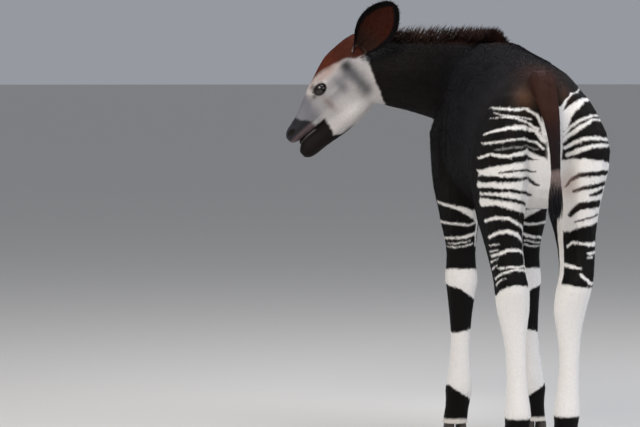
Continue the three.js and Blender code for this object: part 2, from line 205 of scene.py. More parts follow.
# Crest of the neck and withers under the mane: x, y, z in mm
crestLine = np.array([
    [0, -425, 1001], [0, -470, 1008], [0, -500, 1013], [0, -545, 1016], [3, -575, 1014], [9, -605, 1012],
    [20, -645, 1015], [54, -700, 1019], [84, -731, 1020], [112, -757, 1020], [145, -779, 1021],
    [176, -797, 1022], [208, -811, 1024], [240, -821, 1026],
], float)


# Distance from a line seen from above, and the place along it
def nearLine(points, line):
    best = np.full(len(points), 1e9)
    share = np.zeros(len(points))
    for k in range(len(line) - 1):
        start, step = line[k, :2], line[k + 1, :2] - line[k, :2]
        t = np.clip(((points[:, :2] - start) @ step) / (step @ step), 0, 1)
        gap = np.linalg.norm(points[:, :2] - start - t[:, None] * step, axis=1)
        closer = gap < best
        best[closer] = gap[closer]
        share[closer] = k + t[closer]
    return best, share


# The skin: one closed surface for torso, neck, head, legs and tail
skinSettings = {
    "nodes": [
        "torso", "neck", "head", "leg_hind_left", "leg_hind_right", "leg_front_left", "leg_front_right", "tail",
    ],
    "overlap": 0.0007,
    "voxel": 0.0026,
    "maneHalf": 24.0,
    "crestFall": 0.035,
    "rounds": 30,
    "cheekRounds": 50,
    "joinRounds": 60,
    "kept": 0.43,
}
joined = bmesh.new()
for name in skinSettings["nodes"]:
    mesh = copyOf(name)
    points = toTrunk(readPoints(mesh) + skinSettings["overlap"] * readNormals(mesh))
    if name == "neck":
        gap, share = nearLine(points, crestLine)
        crest = np.interp(share, np.arange(len(crestLine)), crestLine[:, 2])
        roof = crest - skinSettings["crestFall"] * gap ** 2
        under = (gap < skinSettings["maneHalf"]) & (points[:, 2] > roof)
        points[under, 2] = roof[under]
    writePoints(mesh, toRow(points))
    joined.from_mesh(mesh)
skinMesh = bpy.data.meshes.new("skin")
joined.to_mesh(skinMesh)
joined.free()
skin = makeObject("skin", skinMesh)
skinMesh = fused(skin, skinSettings["voxel"])
say(f"skin fused, {len(skinMesh.polygons)} faces")

# Eyes, nostrils and lips keep more of their form than the rest: centre and reach
fineParts = [((0, 0, 43), 30), ((0, 0, -43), 30), ((131, -30, 27), 20), ((131, -30, -27), 20), ((120, -64, 0), 45)]
points = toTrunk(readPoints(skinMesh))
inHead = toHead(points)
onHead = smoothStep(-10, 15, aheadOfNeck(inHead))
nearFine = np.zeros(len(points))
for centre, reach in fineParts:
    nearFine = np.maximum(nearFine, nearness(inHead, centre, reach, reach + 15))
weight = 1 - 0.4 * onHead - 0.5 * nearFine
points = relaxed(skinMesh, points, skinSettings["rounds"], np.clip(weight, 0.05, 1))

# The cheek runs over from upper to lower jaw with no crease, and the throat runs into the neck
a, u = inHead.T[:2]
cheek = smoothStep(-120, -95, a) * (1 - smoothStep(35, 62, a))
cheek = cheek * smoothStep(-118, -100, u) * (1 - smoothStep(-62, -44, u))
throat = 1 - smoothStep(24, 44, np.linalg.norm(inHead - np.array([-104, -125, 0]), axis=1) / 1.3)
earBase = sum(nearness(inHead, (-136, -6, side * 38), 18, 38) for side in (1, -1))
weight = np.clip(np.maximum(cheek, throat) + earBase, 0, 1)
points = relaxed(skinMesh, points, skinSettings["cheekRounds"], weight, 0.0)

# Thighs, shoulders and the tail's root run into the trunk with no edge
joins = [
    {"centre": (60, -121, 884), "reach": (75, 105, 34), "both": True},
    {"centre": (60, -582, 884), "reach": (75, 105, 34), "both": True},
    {"centre": (8, -72, 938), "reach": (48, 44, 26), "both": False},
    {"centre": (0, -470, 1005), "reach": (34, 60, 26), "both": False},
]
into = np.zeros(len(points))
for join in joins:
    for side in (1, -1) if join["both"] else (1,):
        gap = (points - np.array(join["centre"]) * (side, 1, 1)) / np.array(join["reach"])
        into = np.maximum(into, 1 - smoothStep(0.6, 1.3, np.linalg.norm(gap, axis=1)))
points = relaxed(skinMesh, points, skinSettings["joinRounds"], into, 0.0)
writePoints(skinMesh, toRow(points))
say("skin smoothed")

# The skin lies under the coat by its depth, in mm, which is less on the legs, head and face
coatDepth = {"body": 3.0, "legs": 1.2, "head": 1.2, "face": 0.8}
inHead = toHead(points)
onHead = smoothStep(-30, 20, aheadOfNeck(inHead))
onFace = smoothStep(-60, 60, inHead[:, 0])
onLegs = 1 - smoothStep(400, 640, points[:, 2])
depth = coatDepth["body"] - coatDepth["legs"] * onLegs - onHead * (coatDepth["head"] + coatDepth["face"] * onFace)
normals = readNormals(skinMesh)
points = points - normals * depth[:, None]

# Muscles, bones and folds of the body and head: name, centre, reach along each axis, and height, in mm
reliefs = [
    ("hip bone", (84, -330, 955), (26, 30, 22), 7),
    ("pin bone", (70, -45, 880), (22, 26, 26), 6),
    ("hollow of the flank", (120, -400, 900), (40, 55, 45), -8),
    ("thigh muscle", (130, -150, 700), (40, 60, 90), 5),
    ("groove behind the thigh", (95, -60, 690), (9, 50, 80), -3),
    ("stifle", (115, -275, 640), (30, 28, 34), 5),
    ("shoulder point", (88, -718, 770), (28, 26, 32), 6),
    ("shoulder blade", (92, -600, 880), (24, 20, 90), 5),
    ("groove behind the shoulder", (140, -500, 800), (30, 20, 90), -5),
    ("upper arm muscle", (120, -560, 700), (30, 34, 55), 5),
]
headReliefs = [
    ("brow", (-10, 20, 44), (26, 7, 12), 2.6),
    ("hollow above the eye", (-58, 22, 52), (22, 13, 14), -3.5),
    ("cheek muscle", (-58, -72, 56), (34, 30, 16), 4),
    ("cheekbone", (-30, -30, 60), (34, 6, 14), 2.2),
    ("hollow before the eye", (46, -14, 40), (22, 11, 14), -2.6),
    ("nostril wing", (126, -22, 32), (12, 5, 9), 2.4),
    ("nostril rim", (143, -32, 24), (6, 8, 8), 1.6),
    ("upper lip", (120, -54, 28), (24, 7, 14), 2.2),
    ("lower lip", (128, -73, 20), (20, 5, 12), 1.8),
    ("chin", (126, -106, 10), (20, 10, 14), 2.2),
    ("groove of the muzzle", (60, -48, 38), (26, 4, 12), -1.6),
    ("horn bud", (-62, 52, 24), (14, 12, 12), 2.4),
]
relief = np.zeros(len(points))
for _, centre, reach, height in reliefs:
    for side in (1, -1):
        relief += height * blob(points, np.array(centre, float) * (side, 1, 1), reach)
inHead = toHead(points)
eitherSide = np.c_[inHead[:, :2], np.abs(inHead[:, 2])]
for _, centre, reach, height in headReliefs:
    relief += height * blob(eitherSide, centre, reach)
points = points + normals * relief[:, None]
writePoints(skinMesh, toRow(points))
say("skin modelled")


# Centre line of each leg: height, x, y
hindAxis = np.array([
    [880, 60, -121], [820, 75, -126], [760, 86, -132], [700, 88, -136], [640, 88, -138], [590, 88, -132],
    [545, 88, -112], [500, 86, -85], [462, 83, -61], [438, 80, -52], [405, 77, -54], [370, 74, -58],
    [333, 71, -60], [287, 67, -63], [214, 63, -64], [165, 61, -65], [135, 60, -65], [105, 60, -71],
    [72, 61, -81], [44, 62, -88],
], float)
foreAxis = np.array([
    [880, 46, -577], [810, 68, -599], [745, 82, -605], [680, 87, -599], [630, 88, -590], [590, 88, -580],
    [550, 86, -575], [515, 84, -574], [475, 83, -572], [440, 82.5, -570], [412, 82, -570], [385, 83, -568],
    [345, 85, -568], [280, 88, -567], [225, 91, -566], [164, 94, -566], [134, 96, -568], [103, 98, -575],
    [70, 101, -584], [44, 104, -590],
], float)
legs = {
    "hindLeft": {"axis": hindAxis, "side": 1, "drift": 0, "knock": 0, "hip": 0},
    "hindRight": {"axis": hindAxis, "side": -1, "drift": 4, "knock": 13, "hip": 14},
    "foreLeft": {"axis": foreAxis, "side": 1, "drift": -11, "knock": 0, "hip": 0},
    "foreRight": {"axis": foreAxis, "side": -1, "drift": -11, "knock": 0, "hip": 0},
}

# Angle round a leg's middle line from its rear to its outside, in degrees, and distance from the line
def aroundLeg(leg, points):
    axis, side = leg["axis"], leg["side"]
    z = points[:, 2]
    x = np.interp(-z, -axis[:, 0], axis[:, 1]) - leg["knock"] * np.exp(-(((z - 380) / 85) ** 2))
    x = x + leg["hip"] * np.exp(-(((z - 768) / 100) ** 2))
    x = side * x + leg["drift"] * np.clip(1 - z / 430, 0, 1)
    y = np.interp(-z, -axis[:, 0], axis[:, 2])
    out, back = side * (points[:, 0] - x), points[:, 1] - y
    return np.degrees(np.arctan2(out, back)), np.hypot(out, back)


# Stripes of the haunches and legs: angle round the leg from its rear to its outside in degrees,
# height and thickness in mm
hindLeftStripes = {
    "croup": [[62, 848, 2], [21, 846, 4.6], [-13, 846, 5.6], [-26, 834, 5.6], [-34, 807, 6.8], [-38, 773, 6.8]],
    "second": [[40, 836, 1.6], [5, 829, 3], [-21, 823, 3.2]],
    "third": [[36, 824, 1.5], [19, 828, 3], [0, 824, 3.5], [-16, 814, 4.5], [-30, 800, 6]],
    "fourth": [[49, 788, 3.6], [26, 796, 5.4], [10, 803, 7.6], [-7, 805, 9.7], [-28, 796, 8.1], [-38, 768, 6.8]],
    "fifth": [[45, 765, 3.6], [13, 773, 4.5], [-9, 778, 4.5], [-30, 770, 4.5], [-37, 754, 4.5]],
    "faint": [[22, 752, 3], [-1, 758, 4], [-17, 762, 4], [-32, 752, 3]],
    "sixth": [[53, 732, 5.4], [29, 741, 5.9], [6, 739, 7.6], [-17, 748, 11.2], [-38, 729, 9]],
    "twelfth": [[52, 584, 6.8], [15, 596, 7.4], [4, 594, 7.4], [-9, 582, 7.4], [-41, 558, 7.4]],
    "thirteenth": [[47, 547, 6.8], [18, 561, 8.1], [5, 564, 9.7], [-11, 556, 9], [-25, 541, 6.8]],
    "streak a": [[57, 528, 3.1], [21, 535, 2.2]],
    "streak b": [[68, 512, 3.1], [26, 521, 2.2]],
    "fourteenth": [[67, 503, 5], [26, 512, 5.9], [7, 520, 6.8], [-12, 522, 6.8], [-42, 508, 5.4]],
    "streak c": [[85, 489, 3.1], [32, 501, 2.2]],
    "streak d": [[95, 472, 3.1], [43, 484, 2.2]],
    "fifteenth": [[33, 479, 3.6], [12, 483, 4.5], [-47, 483, 4.5]],
    "sixteenth": [[76, 453, 4], [14, 473, 4.5], [-6, 477, 4.5], [-48, 471, 4.5]],
    "last": [[76, 440, 4], [26, 456, 3.1]],
    "inner margin": [
        [-34, 826, 7], [-39, 800, 13], [-45, 773, 22], [-46, 740, 25], [-50, 706, 26], [-58, 670, 30],
        [-64, 635, 30], [-56, 600, 26], [-50, 563, 18], [-52, 528, 16], [-52, 493, 16], [-58, 442, 16],
    ],
}
hindLeftBands = [
    {"top": [[-60, 728], [-31, 729], [-17, 728], [6, 719], [29, 711], [40, 705], [100, 704]],
     "bottom": [[-90, 585], [-36, 597], [-7, 612], [7, 619], [21, 625], [55, 618], [100, 616]], "ends": [-84, 62]},
    {"top": [[-180, 446], [-53, 436], [7, 443], [29, 436], [92, 411], [180, 425]],
     "bottom": [[-180, 126], [180, 126]], "ends": [-200, 200]},
]
hindLeftDark = {
    "seventh": [[15, 700, 4], [1, 704, 5], [-18, 705, 5], [-32, 702, 4]],
    "eighth": [[43, 684, 18], [19, 685, 14], [5, 684, 11], [-24, 687, 7.5], [-38, 668, 5]],
    "ninth": [[45, 658, 13], [19, 660, 11], [5, 659, 9], [-23, 652, 7.5], [-36, 645, 5]],
    "tenth": [[47, 642, 8], [19, 642, 9.5], [5, 638, 9.5], [-34, 622, 6.5]],
}
hindRightStripes = {
    "first": [[73, 894, 1.6], [-3, 882, 3], [-17, 865, 4.5], [-26, 846, 6.8]],
    "second": [[58, 866, 3.6], [48, 869, 5.4], [15, 867, 8], [-10, 848, 16], [-23, 832, 22], [-31, 805, 22]],
    "third": [[50, 829, 4], [13, 831, 5], [-7, 819, 5], [-21, 805, 5], [-32, 784, 5.4]],
    "fourth": [[51, 820, 3.6], [11, 821, 5.4], [-9, 803, 8], [-28, 783, 8], [-33, 770, 6.8]],
    "fifth": [[42, 773, 6.8], [7, 779, 8.5], [-7, 777, 9.2], [-21, 768, 9], [-31, 756, 6.8]],
    "sixth": [[40, 762, 4.5], [1, 761, 9], [-13, 752, 12], [-28, 740, 9]],
    "eleventh": [[25, 532, 11.2], [-3, 534, 5.4], [-20, 536, 5.4], [-36, 525, 5.4]],
    "edge a": [[36, 513, 6.8], [7, 511, 4.5]],
    "edge b": [[22, 503, 4.5], [7, 502, 3.1]],
    "low": [[-57, 484, 7.6], [-26, 482, 7.6], [-6, 478, 4.5]],
    "lowest": [[40, 441, 6.8], [21, 445, 6.8], [-6, 464, 4.5]],
    "inner margin": [
        [-28, 846, 10], [-34, 805, 18], [-37, 770, 18], [-38, 728, 18], [-38, 682, 20], [-38, 635, 22], [-38, 600, 22],
        [-50, 575, 28], [-66, 550, 34], [-76, 529, 36], [-84, 504, 38], [-90, 470, 38], [-96, 440, 36],
    ],
}
hindRightBands = [
    {"top": [[-60, 729], [-34, 728], [-21, 731], [-8, 732], [5, 728], [34, 720], [100, 716]],
     "bottom": [[-60, 556], [-22, 561], [-1, 574], [22, 582], [100, 584]], "ends": [-62, 78]},
    {"top": [[-180, 446], [-121, 438], [-35, 440], [-2, 436], [32, 433], [180, 430]],
     "bottom": [[-180, 129], [180, 129]], "ends": [-200, 200]},
]
hindRightDark = {
    "seventh": [[25, 698, 12], [2, 697, 12], [-11, 694, 10], [-21, 682, 8], [-27, 665, 5]],
    "eighth": [[26, 673, 12], [7, 669, 11], [-4, 664, 11], [-16, 657, 6]],
    "ninth": [[24, 656, 11], [11, 651, 8.5], [2, 646, 5]],
    "tenth": [[22, 626, 18], [6, 625, 18], [-8, 621, 16], [-20, 600, 11]],
    "eleventh": [[22, 600, 5], [3, 594, 5], [-13, 585, 4]],
}
foreStripes = {
    "first": [[110, 606, 4.5], [31, 600, 6.8], [5, 590, 11.2], [-15, 579, 20.2], [-35, 573, 31.5], [-80, 570, 20]],
    "second": [[121, 557, 4.5], [26, 554, 5.4], [-6, 551, 5.4], [-33, 558, 6.8]],
    "third": [[100, 514, 4.5], [18, 517, 5.4], [-3, 521, 6.8], [-49, 532, 9]],
    "fourth": [[35, 502, 2.7], [8, 507, 3.1], [-17, 510, 3.1]],
    "fifth": [[51, 493, 2.7], [5, 496, 3.1], [-32, 502, 3.1]],
    "rear margin": [[-30, 591, 14], [-38, 561, 14], [-44, 525, 12], [-52, 499, 9]],
}
foreBands = [
    {"top": [[-180, 442], [-59, 438], [18, 440], [84, 438], [180, 440]],
     "bottom": [[-180, 385], [-100, 370], [-59, 362], [-24, 371], [19, 390], [86, 400], [180, 392]],
     "ends": [-200, 200]},
    {"top": [[-180, 283], [-48, 287], [-7, 283], [57, 277], [180, 280]],
     "bottom": [[-180, 125], [-60, 107], [-5, 124], [60, 146], [180, 140]], "ends": [-200, 200]},
]
random = np.random.default_rng(11)


# A stripe with its outer end drawn out to a point
def tapered(line, reach):
    first = line[0]
    if first[0] < 25 or first[0] > 100:
        return line
    shift = random.uniform(-2, 4)
    return [[first[0] + reach + random.uniform(-3, 5), first[1] + shift, 0.5]] + line


# White stripes, white bands and dark stripes of each leg, with how far the white ones run on outwards
darkReach = 30
markings = {}
for name, light, bands, dark, reach in [
    ("hindLeft", hindLeftStripes, hindLeftBands, hindLeftDark, 9),
    ("hindRight", hindRightStripes, hindRightBands, hindRightDark, 26),
    ("foreLeft", foreStripes, foreBands, {}, 50),
    ("foreRight", foreStripes, foreBands, {}, 50),
]:
    light = {key: tapered(line, reach) for key, line in light.items()}
    dark = {key: tapered(line, darkReach) for key, line in dark.items()}
    markings[name] = (light, bands, dark)


def lineCover(angle, radius, height, line, soft):
    scale = np.radians(radius)
    across = angle * scale
    best = np.full(len(angle), 1e9)
    for (a0, z0, w0), (a1, z1, w1) in zip(line[:-1], line[1:]):
        x0, x1 = a0 * scale, a1 * scale
        stepX, stepZ = x1 - x0, z1 - z0
        t = np.clip(((across - x0) * stepX + (height - z0) * stepZ) / (stepX ** 2 + stepZ ** 2 + 1e-9), 0, 1)
        gap = np.hypot(across - x0 - t * stepX, height - z0 - t * stepZ) - (w0 + t * (w1 - w0)) / 2
        best = np.minimum(best, gap)
    return 1 - smoothStep(-soft, soft, best)


def bandCover(angle, height, band, soft):
    top = np.interp(angle, *np.array(band["top"], float).T)
    bottom = np.interp(angle, *np.array(band["bottom"], float).T)
    cover = smoothStep(-soft, soft, top - height) * smoothStep(-soft, soft, height - bottom)
    first, last = band["ends"]
    ragged = last + 5 * np.sin(height / 7) + 3 * np.sin(height / 3.1)
    return cover * smoothStep(first - 2, first + 2, angle) * (1 - smoothStep(ragged - 6, ragged + 3, angle))


# Middle line of the tail and its half width and depth: height, x, y, half, depth
tailAxis = np.array([
    [938, 8, -72, 30, 26], [905, 8, -44, 33, 24], [870, 7, -20, 30, 18], [835, 3, 0, 24, 15], [790, -2, 12, 18, 13],
    [735, -5, 17, 14, 12], [690, -6, 17, 13, 11], [655, -6, 17, 11, 10],
], float)

# Colours of the living coat. The pale grey-brown hollow also serves as painted shade, for the shadow below and behind
# the eye
palette = {name: linear(code)[:3] for name, code in {
    "black": "#0b0908", "blackBrown": "#140e0b", "white": "#efecea", "stocking": "#f2f0ee", "maneTip": "#4b3a34",
    "croup": "#3a2016", "tan": "#5c4030", "tail": "#331a12", "tailLow": "#1f1517", "cheek": "#d5d1d1",
    "beige": "#a98a7c", "forehead": "#5f2c1b", "greyBand": "#56565c", "muzzle": "#86868d", "nose": "#2b2b2f",
    "chin": "#191413", "smudge": "#42322c", "lip": "#6a5c5e", "pink": "#b9968a", "coronet": "#e2ddd6",
    "slate": "#15161b", "earInside": "#411c11", "earRim": "#0d0a0a", "hollow": "#9a8a86",
}.items()}


def wobble(points, size, seed):
    phase = np.random.default_rng(seed).uniform(0, 6.28, 6)
    p = points / size
    return (
        np.sin(p[:, 0] * 1.3 + p[:, 1] * 0.7 + phase[0]) + np.sin(p[:, 1] * 1.1 - p[:, 2] * 0.9 + phase[1])
        + np.sin(p[:, 2] * 1.7 + p[:, 0] * 0.8 + phase[2]) + np.sin((p[:, 0] - p[:, 1] + p[:, 2]) * 2.3 + phase[3])
    ) / 4


def blend(colour, name, cover):
    return colour + (palette[name] - colour) * np.clip(cover, 0, 1)[:, None]


def layered(colour, layers):
    for name, cover in layers:
        colour = blend(colour, name, cover)
    return colour


def legMasks(points):
    ahead = points[:, 1] < -380
    side = np.sign(points[:, 0] + 1e-6)
    return {name: (ahead == name.startswith("fore")) & (side == leg["side"]) for name, leg in legs.items()}


def headColour(points):
    a, u, s = toHead(points).T
    away = np.abs(s)
    local = np.stack([a, u, away], axis=1)
    ruffle = 2.5 * wobble(points, 4, 5)
    brow = np.interp(a, [-160, -135, -119, -105, -71, -23, 10, 40, 70], [-14, -10, -2, 12, 22, 33, 31, 25, 30])
    aboveBrow = smoothStep(-5, 6, u - brow + ruffle)
    bandMiddle = np.interp(u, [-110, -60, 5, 20], [-84, -88, -90, -98])
    band = np.exp(-((a - bandMiddle + ruffle) / 21) ** 2) * smoothStep(-112, -80, u) * (1 - smoothStep(2, 18, u))
    chinEdge = np.interp(u, [-130, -123, -110, -100, -82, -70, -55], [26, 34, 57, 50, 47, 44, 40])
    noseEdge = np.interp(u, [-60, -43, -32, -23, -10], [66, 74, 82, 92, 97])
    eyeGap = np.hypot(a / 17, u / 12.5)
    nostrilGap = np.hypot((a - 131) / 11, (u + 30) / 6)
    return layered(np.tile(palette["cheek"], (len(points), 1)), [
        ("beige", 0.75 * blob(local, (-45, 22, 40), (50, 16, 60))),
        ("beige", 0.4 * blob(local, (25, 12, 35), (30, 16, 60))),
        ("forehead", aboveBrow),
        ("earInside", 0.75 * aboveBrow * (1 - smoothStep(-100, -50, a))),
        ("muzzle", smoothStep(20, 52, a + 0.25 * u + ruffle) * (1 - 0.5 * smoothStep(-30, -70, u))),
        ("greyBand", 0.85 * band),
        ("chin", 0.7 * blob(local, (-90, -2, 59), (12, 14, 60))),
        ("muzzle", 0.45 * smoothStep(-70, -40, a) * smoothStep(-62, -40, u) * (1 - smoothStep(-6, 10, u))),
        ("white", 0.8 * blob(local, (-28, -92, 40), (34, 26, 40))),
        ("greyBand", 0.55 * blob(local, (-48, -30, 60), (15, 28, 60))),
        ("greyBand", 0.5 * blob(local, (-72, -18, 60), (20, 16, 60))),
        # Painted shadow below and behind the eye, in the pale grey-brown hollow
        ("hollow", 0.75 * blob(local, (8, -42, 50), (9, 22, 40))),
        ("smudge", 0.7 * blob(local, (24, -3, 50), (6, 6, 30))),
        ("smudge", 0.85 * blob(local, (11, 17, 50), (7, 8, 24))),
        ("white", 0.6 * blob(local, (28, 15, 34), (7, 7, 30))),
        ("chin", smoothStep(-4, 5, a - chinEdge + ruffle) * (1 - smoothStep(-64, -59, u))),
        ("chin", 0.85 * (smoothStep(-10, 30, a) * (1 - smoothStep(-126, -119, u)))),
        ("lip", smoothStep(70, 80, a + ruffle) * (1 - smoothStep(-44, -36, u)) * smoothStep(-68, -62, u)),
        ("nose", smoothStep(-5, 5, a - noseEdge + ruffle) * smoothStep(-50, -40, u)),
        ("chin", np.exp(-((u + 64) / 4) ** 2) * smoothStep(58, 70, a)),
        ("cheek", 0.6 * blob(local, (66, -54, 36), (6, 4, 30))),
        ("white", 0.4 * np.exp(-((eyeGap - 1.45) / 0.22) ** 2) * smoothStep(-4, 8, u) * (away > 30)),
        ("chin", (1 - smoothStep(1.0, 1.22, eyeGap)) * (away > 30)),
        # Nostril pits painted near black: dark skin of the nose with painted shade of the openings
        ("chin", 0.95 * (1 - smoothStep(0.9, 1.25, nostrilGap)) * (away > 18)),
    ])


def coatColour(points):
    x, y, z = points.T
    mottle = 0.5 + 0.5 * wobble(points, 38, 3)
    crestGap, _ = nearLine(points, crestLine)
    colour = layered(np.tile(palette["black"], (len(points), 1)), [
        ("blackBrown", 0.8 * mottle * smoothStep(520, 700, z)),
        ("croup", 0.9 * blob(points, (8, -70, 935), (42, 75, 45))),
        ("tan", 0.8 * blob(points, (52, -45, 872), (22, 40, 26))),
        ("tan", 0.35 * blob(points, (-42, -45, 880), (18, 40, 26))),
        ("croup", 0.7 * np.exp(-(crestGap / 16) ** 2) * smoothStep(985, 1010, z)),
    ])
    ruffle = 1.3 * wobble(points, 3.2, 8) + 1.6 * wobble(points, 9, 9)
    for name, mine in legMasks(points).items():
        part = points[mine]
        if len(part) == 0:
            continue
        angle, radius = aroundLeg(legs[name], part)
        height = part[:, 2] + ruffle[mine]
        light, bands, dark = markings[name]
        cover = np.zeros(len(part))
        for band in bands:
            cover = np.maximum(cover, bandCover(angle, height, band, 2))
        for line in dark.values():
            cover = np.minimum(cover, 1 - lineCover(angle, radius, height, line, 1.5))
        if name.startswith("hind"):
            inside = (1 - smoothStep(-44, -38, angle)) * smoothStep(590, 600, height)
            inside = inside * (1 - smoothStep(800, 840, height))
            cover = np.maximum(cover, inside * (angle > -110) * (part[:, 1] > -130))
        for key, line in light.items():
            cover = np.maximum(cover, lineCover(angle, radius, height, line, 1.5) * (0.3 if key == "faint" else 1))
        colour[mine] = layered(colour[mine], [
            ("stocking", cover * 0.97), ("coronet", 1 - smoothStep(54, 62, height)),
        ])
    middle = [np.interp(-z, -tailAxis[:, 0], tailAxis[:, column]) for column in range(1, 5)]
    onTail = 1 - smoothStep(1.12, 1.3, np.hypot((x - middle[0]) / middle[2], (y - middle[1]) / middle[3]))
    colour = layered(colour, [
        ("tail", onTail * (z < 925)),
        ("tailLow", onTail * (1 - smoothStep(760, 850, z))),
        ("hollow", 0.75 * onTail * (1 - smoothStep(694, 714, z + 3 * ruffle))),
        ("pink", 0.7 * blob(points, (-30, -44, 655), (12, 20, 16))),
        ("pink", 0.4 * blob(points, (-52, -28, 672), (22, 40, 34))),
    ])
    inHead = toHead(points)
    ahead = aheadOfNeck(inHead)
    edge = np.interp(inHead[:, 1], [-150, -60, 10], [0, 2, 4])
    onFace = smoothStep(-3, 5, ahead - edge + 2.5 * wobble(points, 5, 12)) * (x > 150)
    face = headColour(points)
    return colour + (face - colour) * onFace[:, None]


# Fewer faces where the coat is plain: the head keeps all of its own, and the striped parts most
trunk = toTrunk(readPoints(skinMesh))
plain = np.ones(len(trunk))
plain[toHead(trunk)[:, 0] > -140] = 0.0
rearStriped = (trunk[:, 2] < 900) & (trunk[:, 1] > -260)
foreStriped = (trunk[:, 2] < 630) & (trunk[:, 1] < -480)
plain[(trunk[:, 2] > 90) & (rearStriped | foreStriped)] = 0.25
group = skin.vertex_groups.new(name="plain")
for level in np.unique(plain):
    group.add(np.nonzero(plain == level)[0].tolist(), float(level), "REPLACE")
fewer = skin.modifiers.new("fewer", "DECIMATE")
fewer.ratio = skinSettings["kept"]
fewer.vertex_group = "plain"
skinMesh = settle(skin)
smoothShade(skinMesh)
trunk = toTrunk(readPoints(skinMesh))
writeAttribute(skinMesh, "coatColour", "FLOAT_COLOR", np.c_[coatColour(trunk), np.ones(len(trunk))])
say(f"skin thinned to {len(skinMesh.polygons)} faces and marked")

# Unwrap of the skin, which the coat's map follows
bpy.context.view_layer.objects.active = skin
skin.select_set(True)
bpy.ops.object.mode_set(mode="EDIT")
bpy.ops.mesh.select_all(action="SELECT")
bpy.ops.uv.smart_project(angle_limit=math.radians(66), island_margin=0.002)
bpy.ops.object.mode_set(mode="OBJECT")
skin.select_set(False)
skinMesh = skin.data
skinMesh.uv_layers[0].name = "OFBake"
say("skin unwrapped")


# Materials
def addNode(tree, kind, settings=None, links=None, inputs=None):
    node = tree.nodes.new(kind)
    for key, value in (settings or {}).items():
        setattr(node, key, value)
    for key, value in (inputs or {}).items():
        node.inputs[key].default_value = value
    for key, source in (links or {}).items():
        tree.links.new(source, node.inputs[key])
    return node


def newMaterial(name):
    material = bpy.data.materials.new(name)
    material.use_nodes = True
    material.node_tree.nodes.clear()
    return material, material.node_tree


def surfaced(tree, links, values):
    surface = addNode(tree, "ShaderNodeBsdfPrincipled", {}, links, values)
    addNode(tree, "ShaderNodeOutputMaterial", {}, {"Surface": surface.outputs["BSDF"]})


def plainMaterial(name, colour, values):
    material, tree = newMaterial(name)
    surfaced(tree, {}, {"Base Color": tuple(linear(colour)), **values})
    return material


def coatMaterial(name, bumpScale, bumpHeight, roughness, sheen):
    # Short, dense hair: the marking's colour, broken up by fine streaks
    material, tree = newMaterial(name)
    colour = addNode(tree, "ShaderNodeAttribute", {"attribute_name": "coatColour"})
    place = addNode(tree, "ShaderNodeTexCoord")
    streaks = addNode(tree, "ShaderNodeTexNoise", {}, {"Vector": place.outputs["Object"]},
                      {"Scale": bumpScale, "Detail": 3.0, "Roughness": 0.6})
    level = addNode(tree, "ShaderNodeMapRange", {}, {"Value": streaks.outputs["Fac"]},
                    {"From Min": 0.3, "From Max": 0.7, "To Min": 0.8, "To Max": 1.2})
    tinted = addNode(tree, "ShaderNodeVectorMath", {"operation": "SCALE"},
                     {0: colour.outputs["Color"], "Scale": level.outputs["Result"]})
    bump = addNode(tree, "ShaderNodeBump", {}, {"Height": streaks.outputs["Fac"]},
                   {"Strength": 0.6, "Distance": bumpHeight})
    surfaced(tree, {"Base Color": tinted.outputs["Vector"], "Normal": bump.outputs["Normal"]},
             {"Roughness": roughness, "Sheen Weight": sheen, "Sheen Roughness": 0.4,
              "Sheen Tint": tuple(linear("#8fa0c8")), "Specular IOR Level": 0.12})
    return material


skinMesh.materials.clear()
skinMesh.materials.append(coatMaterial("Okapi skin under short hair", 900.0, 0.0006, 0.6, 0.03))
hairMaterial = coatMaterial("Okapi hair", 260.0, 0.0002, 0.5, 0.02)
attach(skin, "root")
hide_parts(*skinSettings["nodes"])


# One hair or lock as a closed tapered blade, one unit long, with its own small patch of map
def lockMesh(name, rings):
    points, faces = [], []
    for along, lift, size in rings[:-1]:
        for across, up in ((-0.5, 0), (0.5, 0), (0, 0.5)):
            points.append((along, across * size, lift + up * size))
    points.append((rings[-1][0], 0, rings[-1][1]))
    faces.append((2, 1, 0))
    last = len(rings) - 2
    for ring in range(last):
        for k in range(3):
            a, b = 3 * ring + k, 3 * ring + (k + 1) % 3
            faces.append((a, b, b + 3))
            faces.append((a, b + 3, a + 3))
    for k in range(3):
        faces.append((3 * last + k, 3 * last + (k + 1) % 3, len(points) - 1))
    mesh = meshOf(name, points, faces)
    patch = mesh.uv_layers.new(name="patch")
    for loop in mesh.loops:
        along, across, _ = points[loop.vertex_index]
        patch.data[loop.index].uv = (min(max(along, 0), 1), across + 0.5)
    return mesh


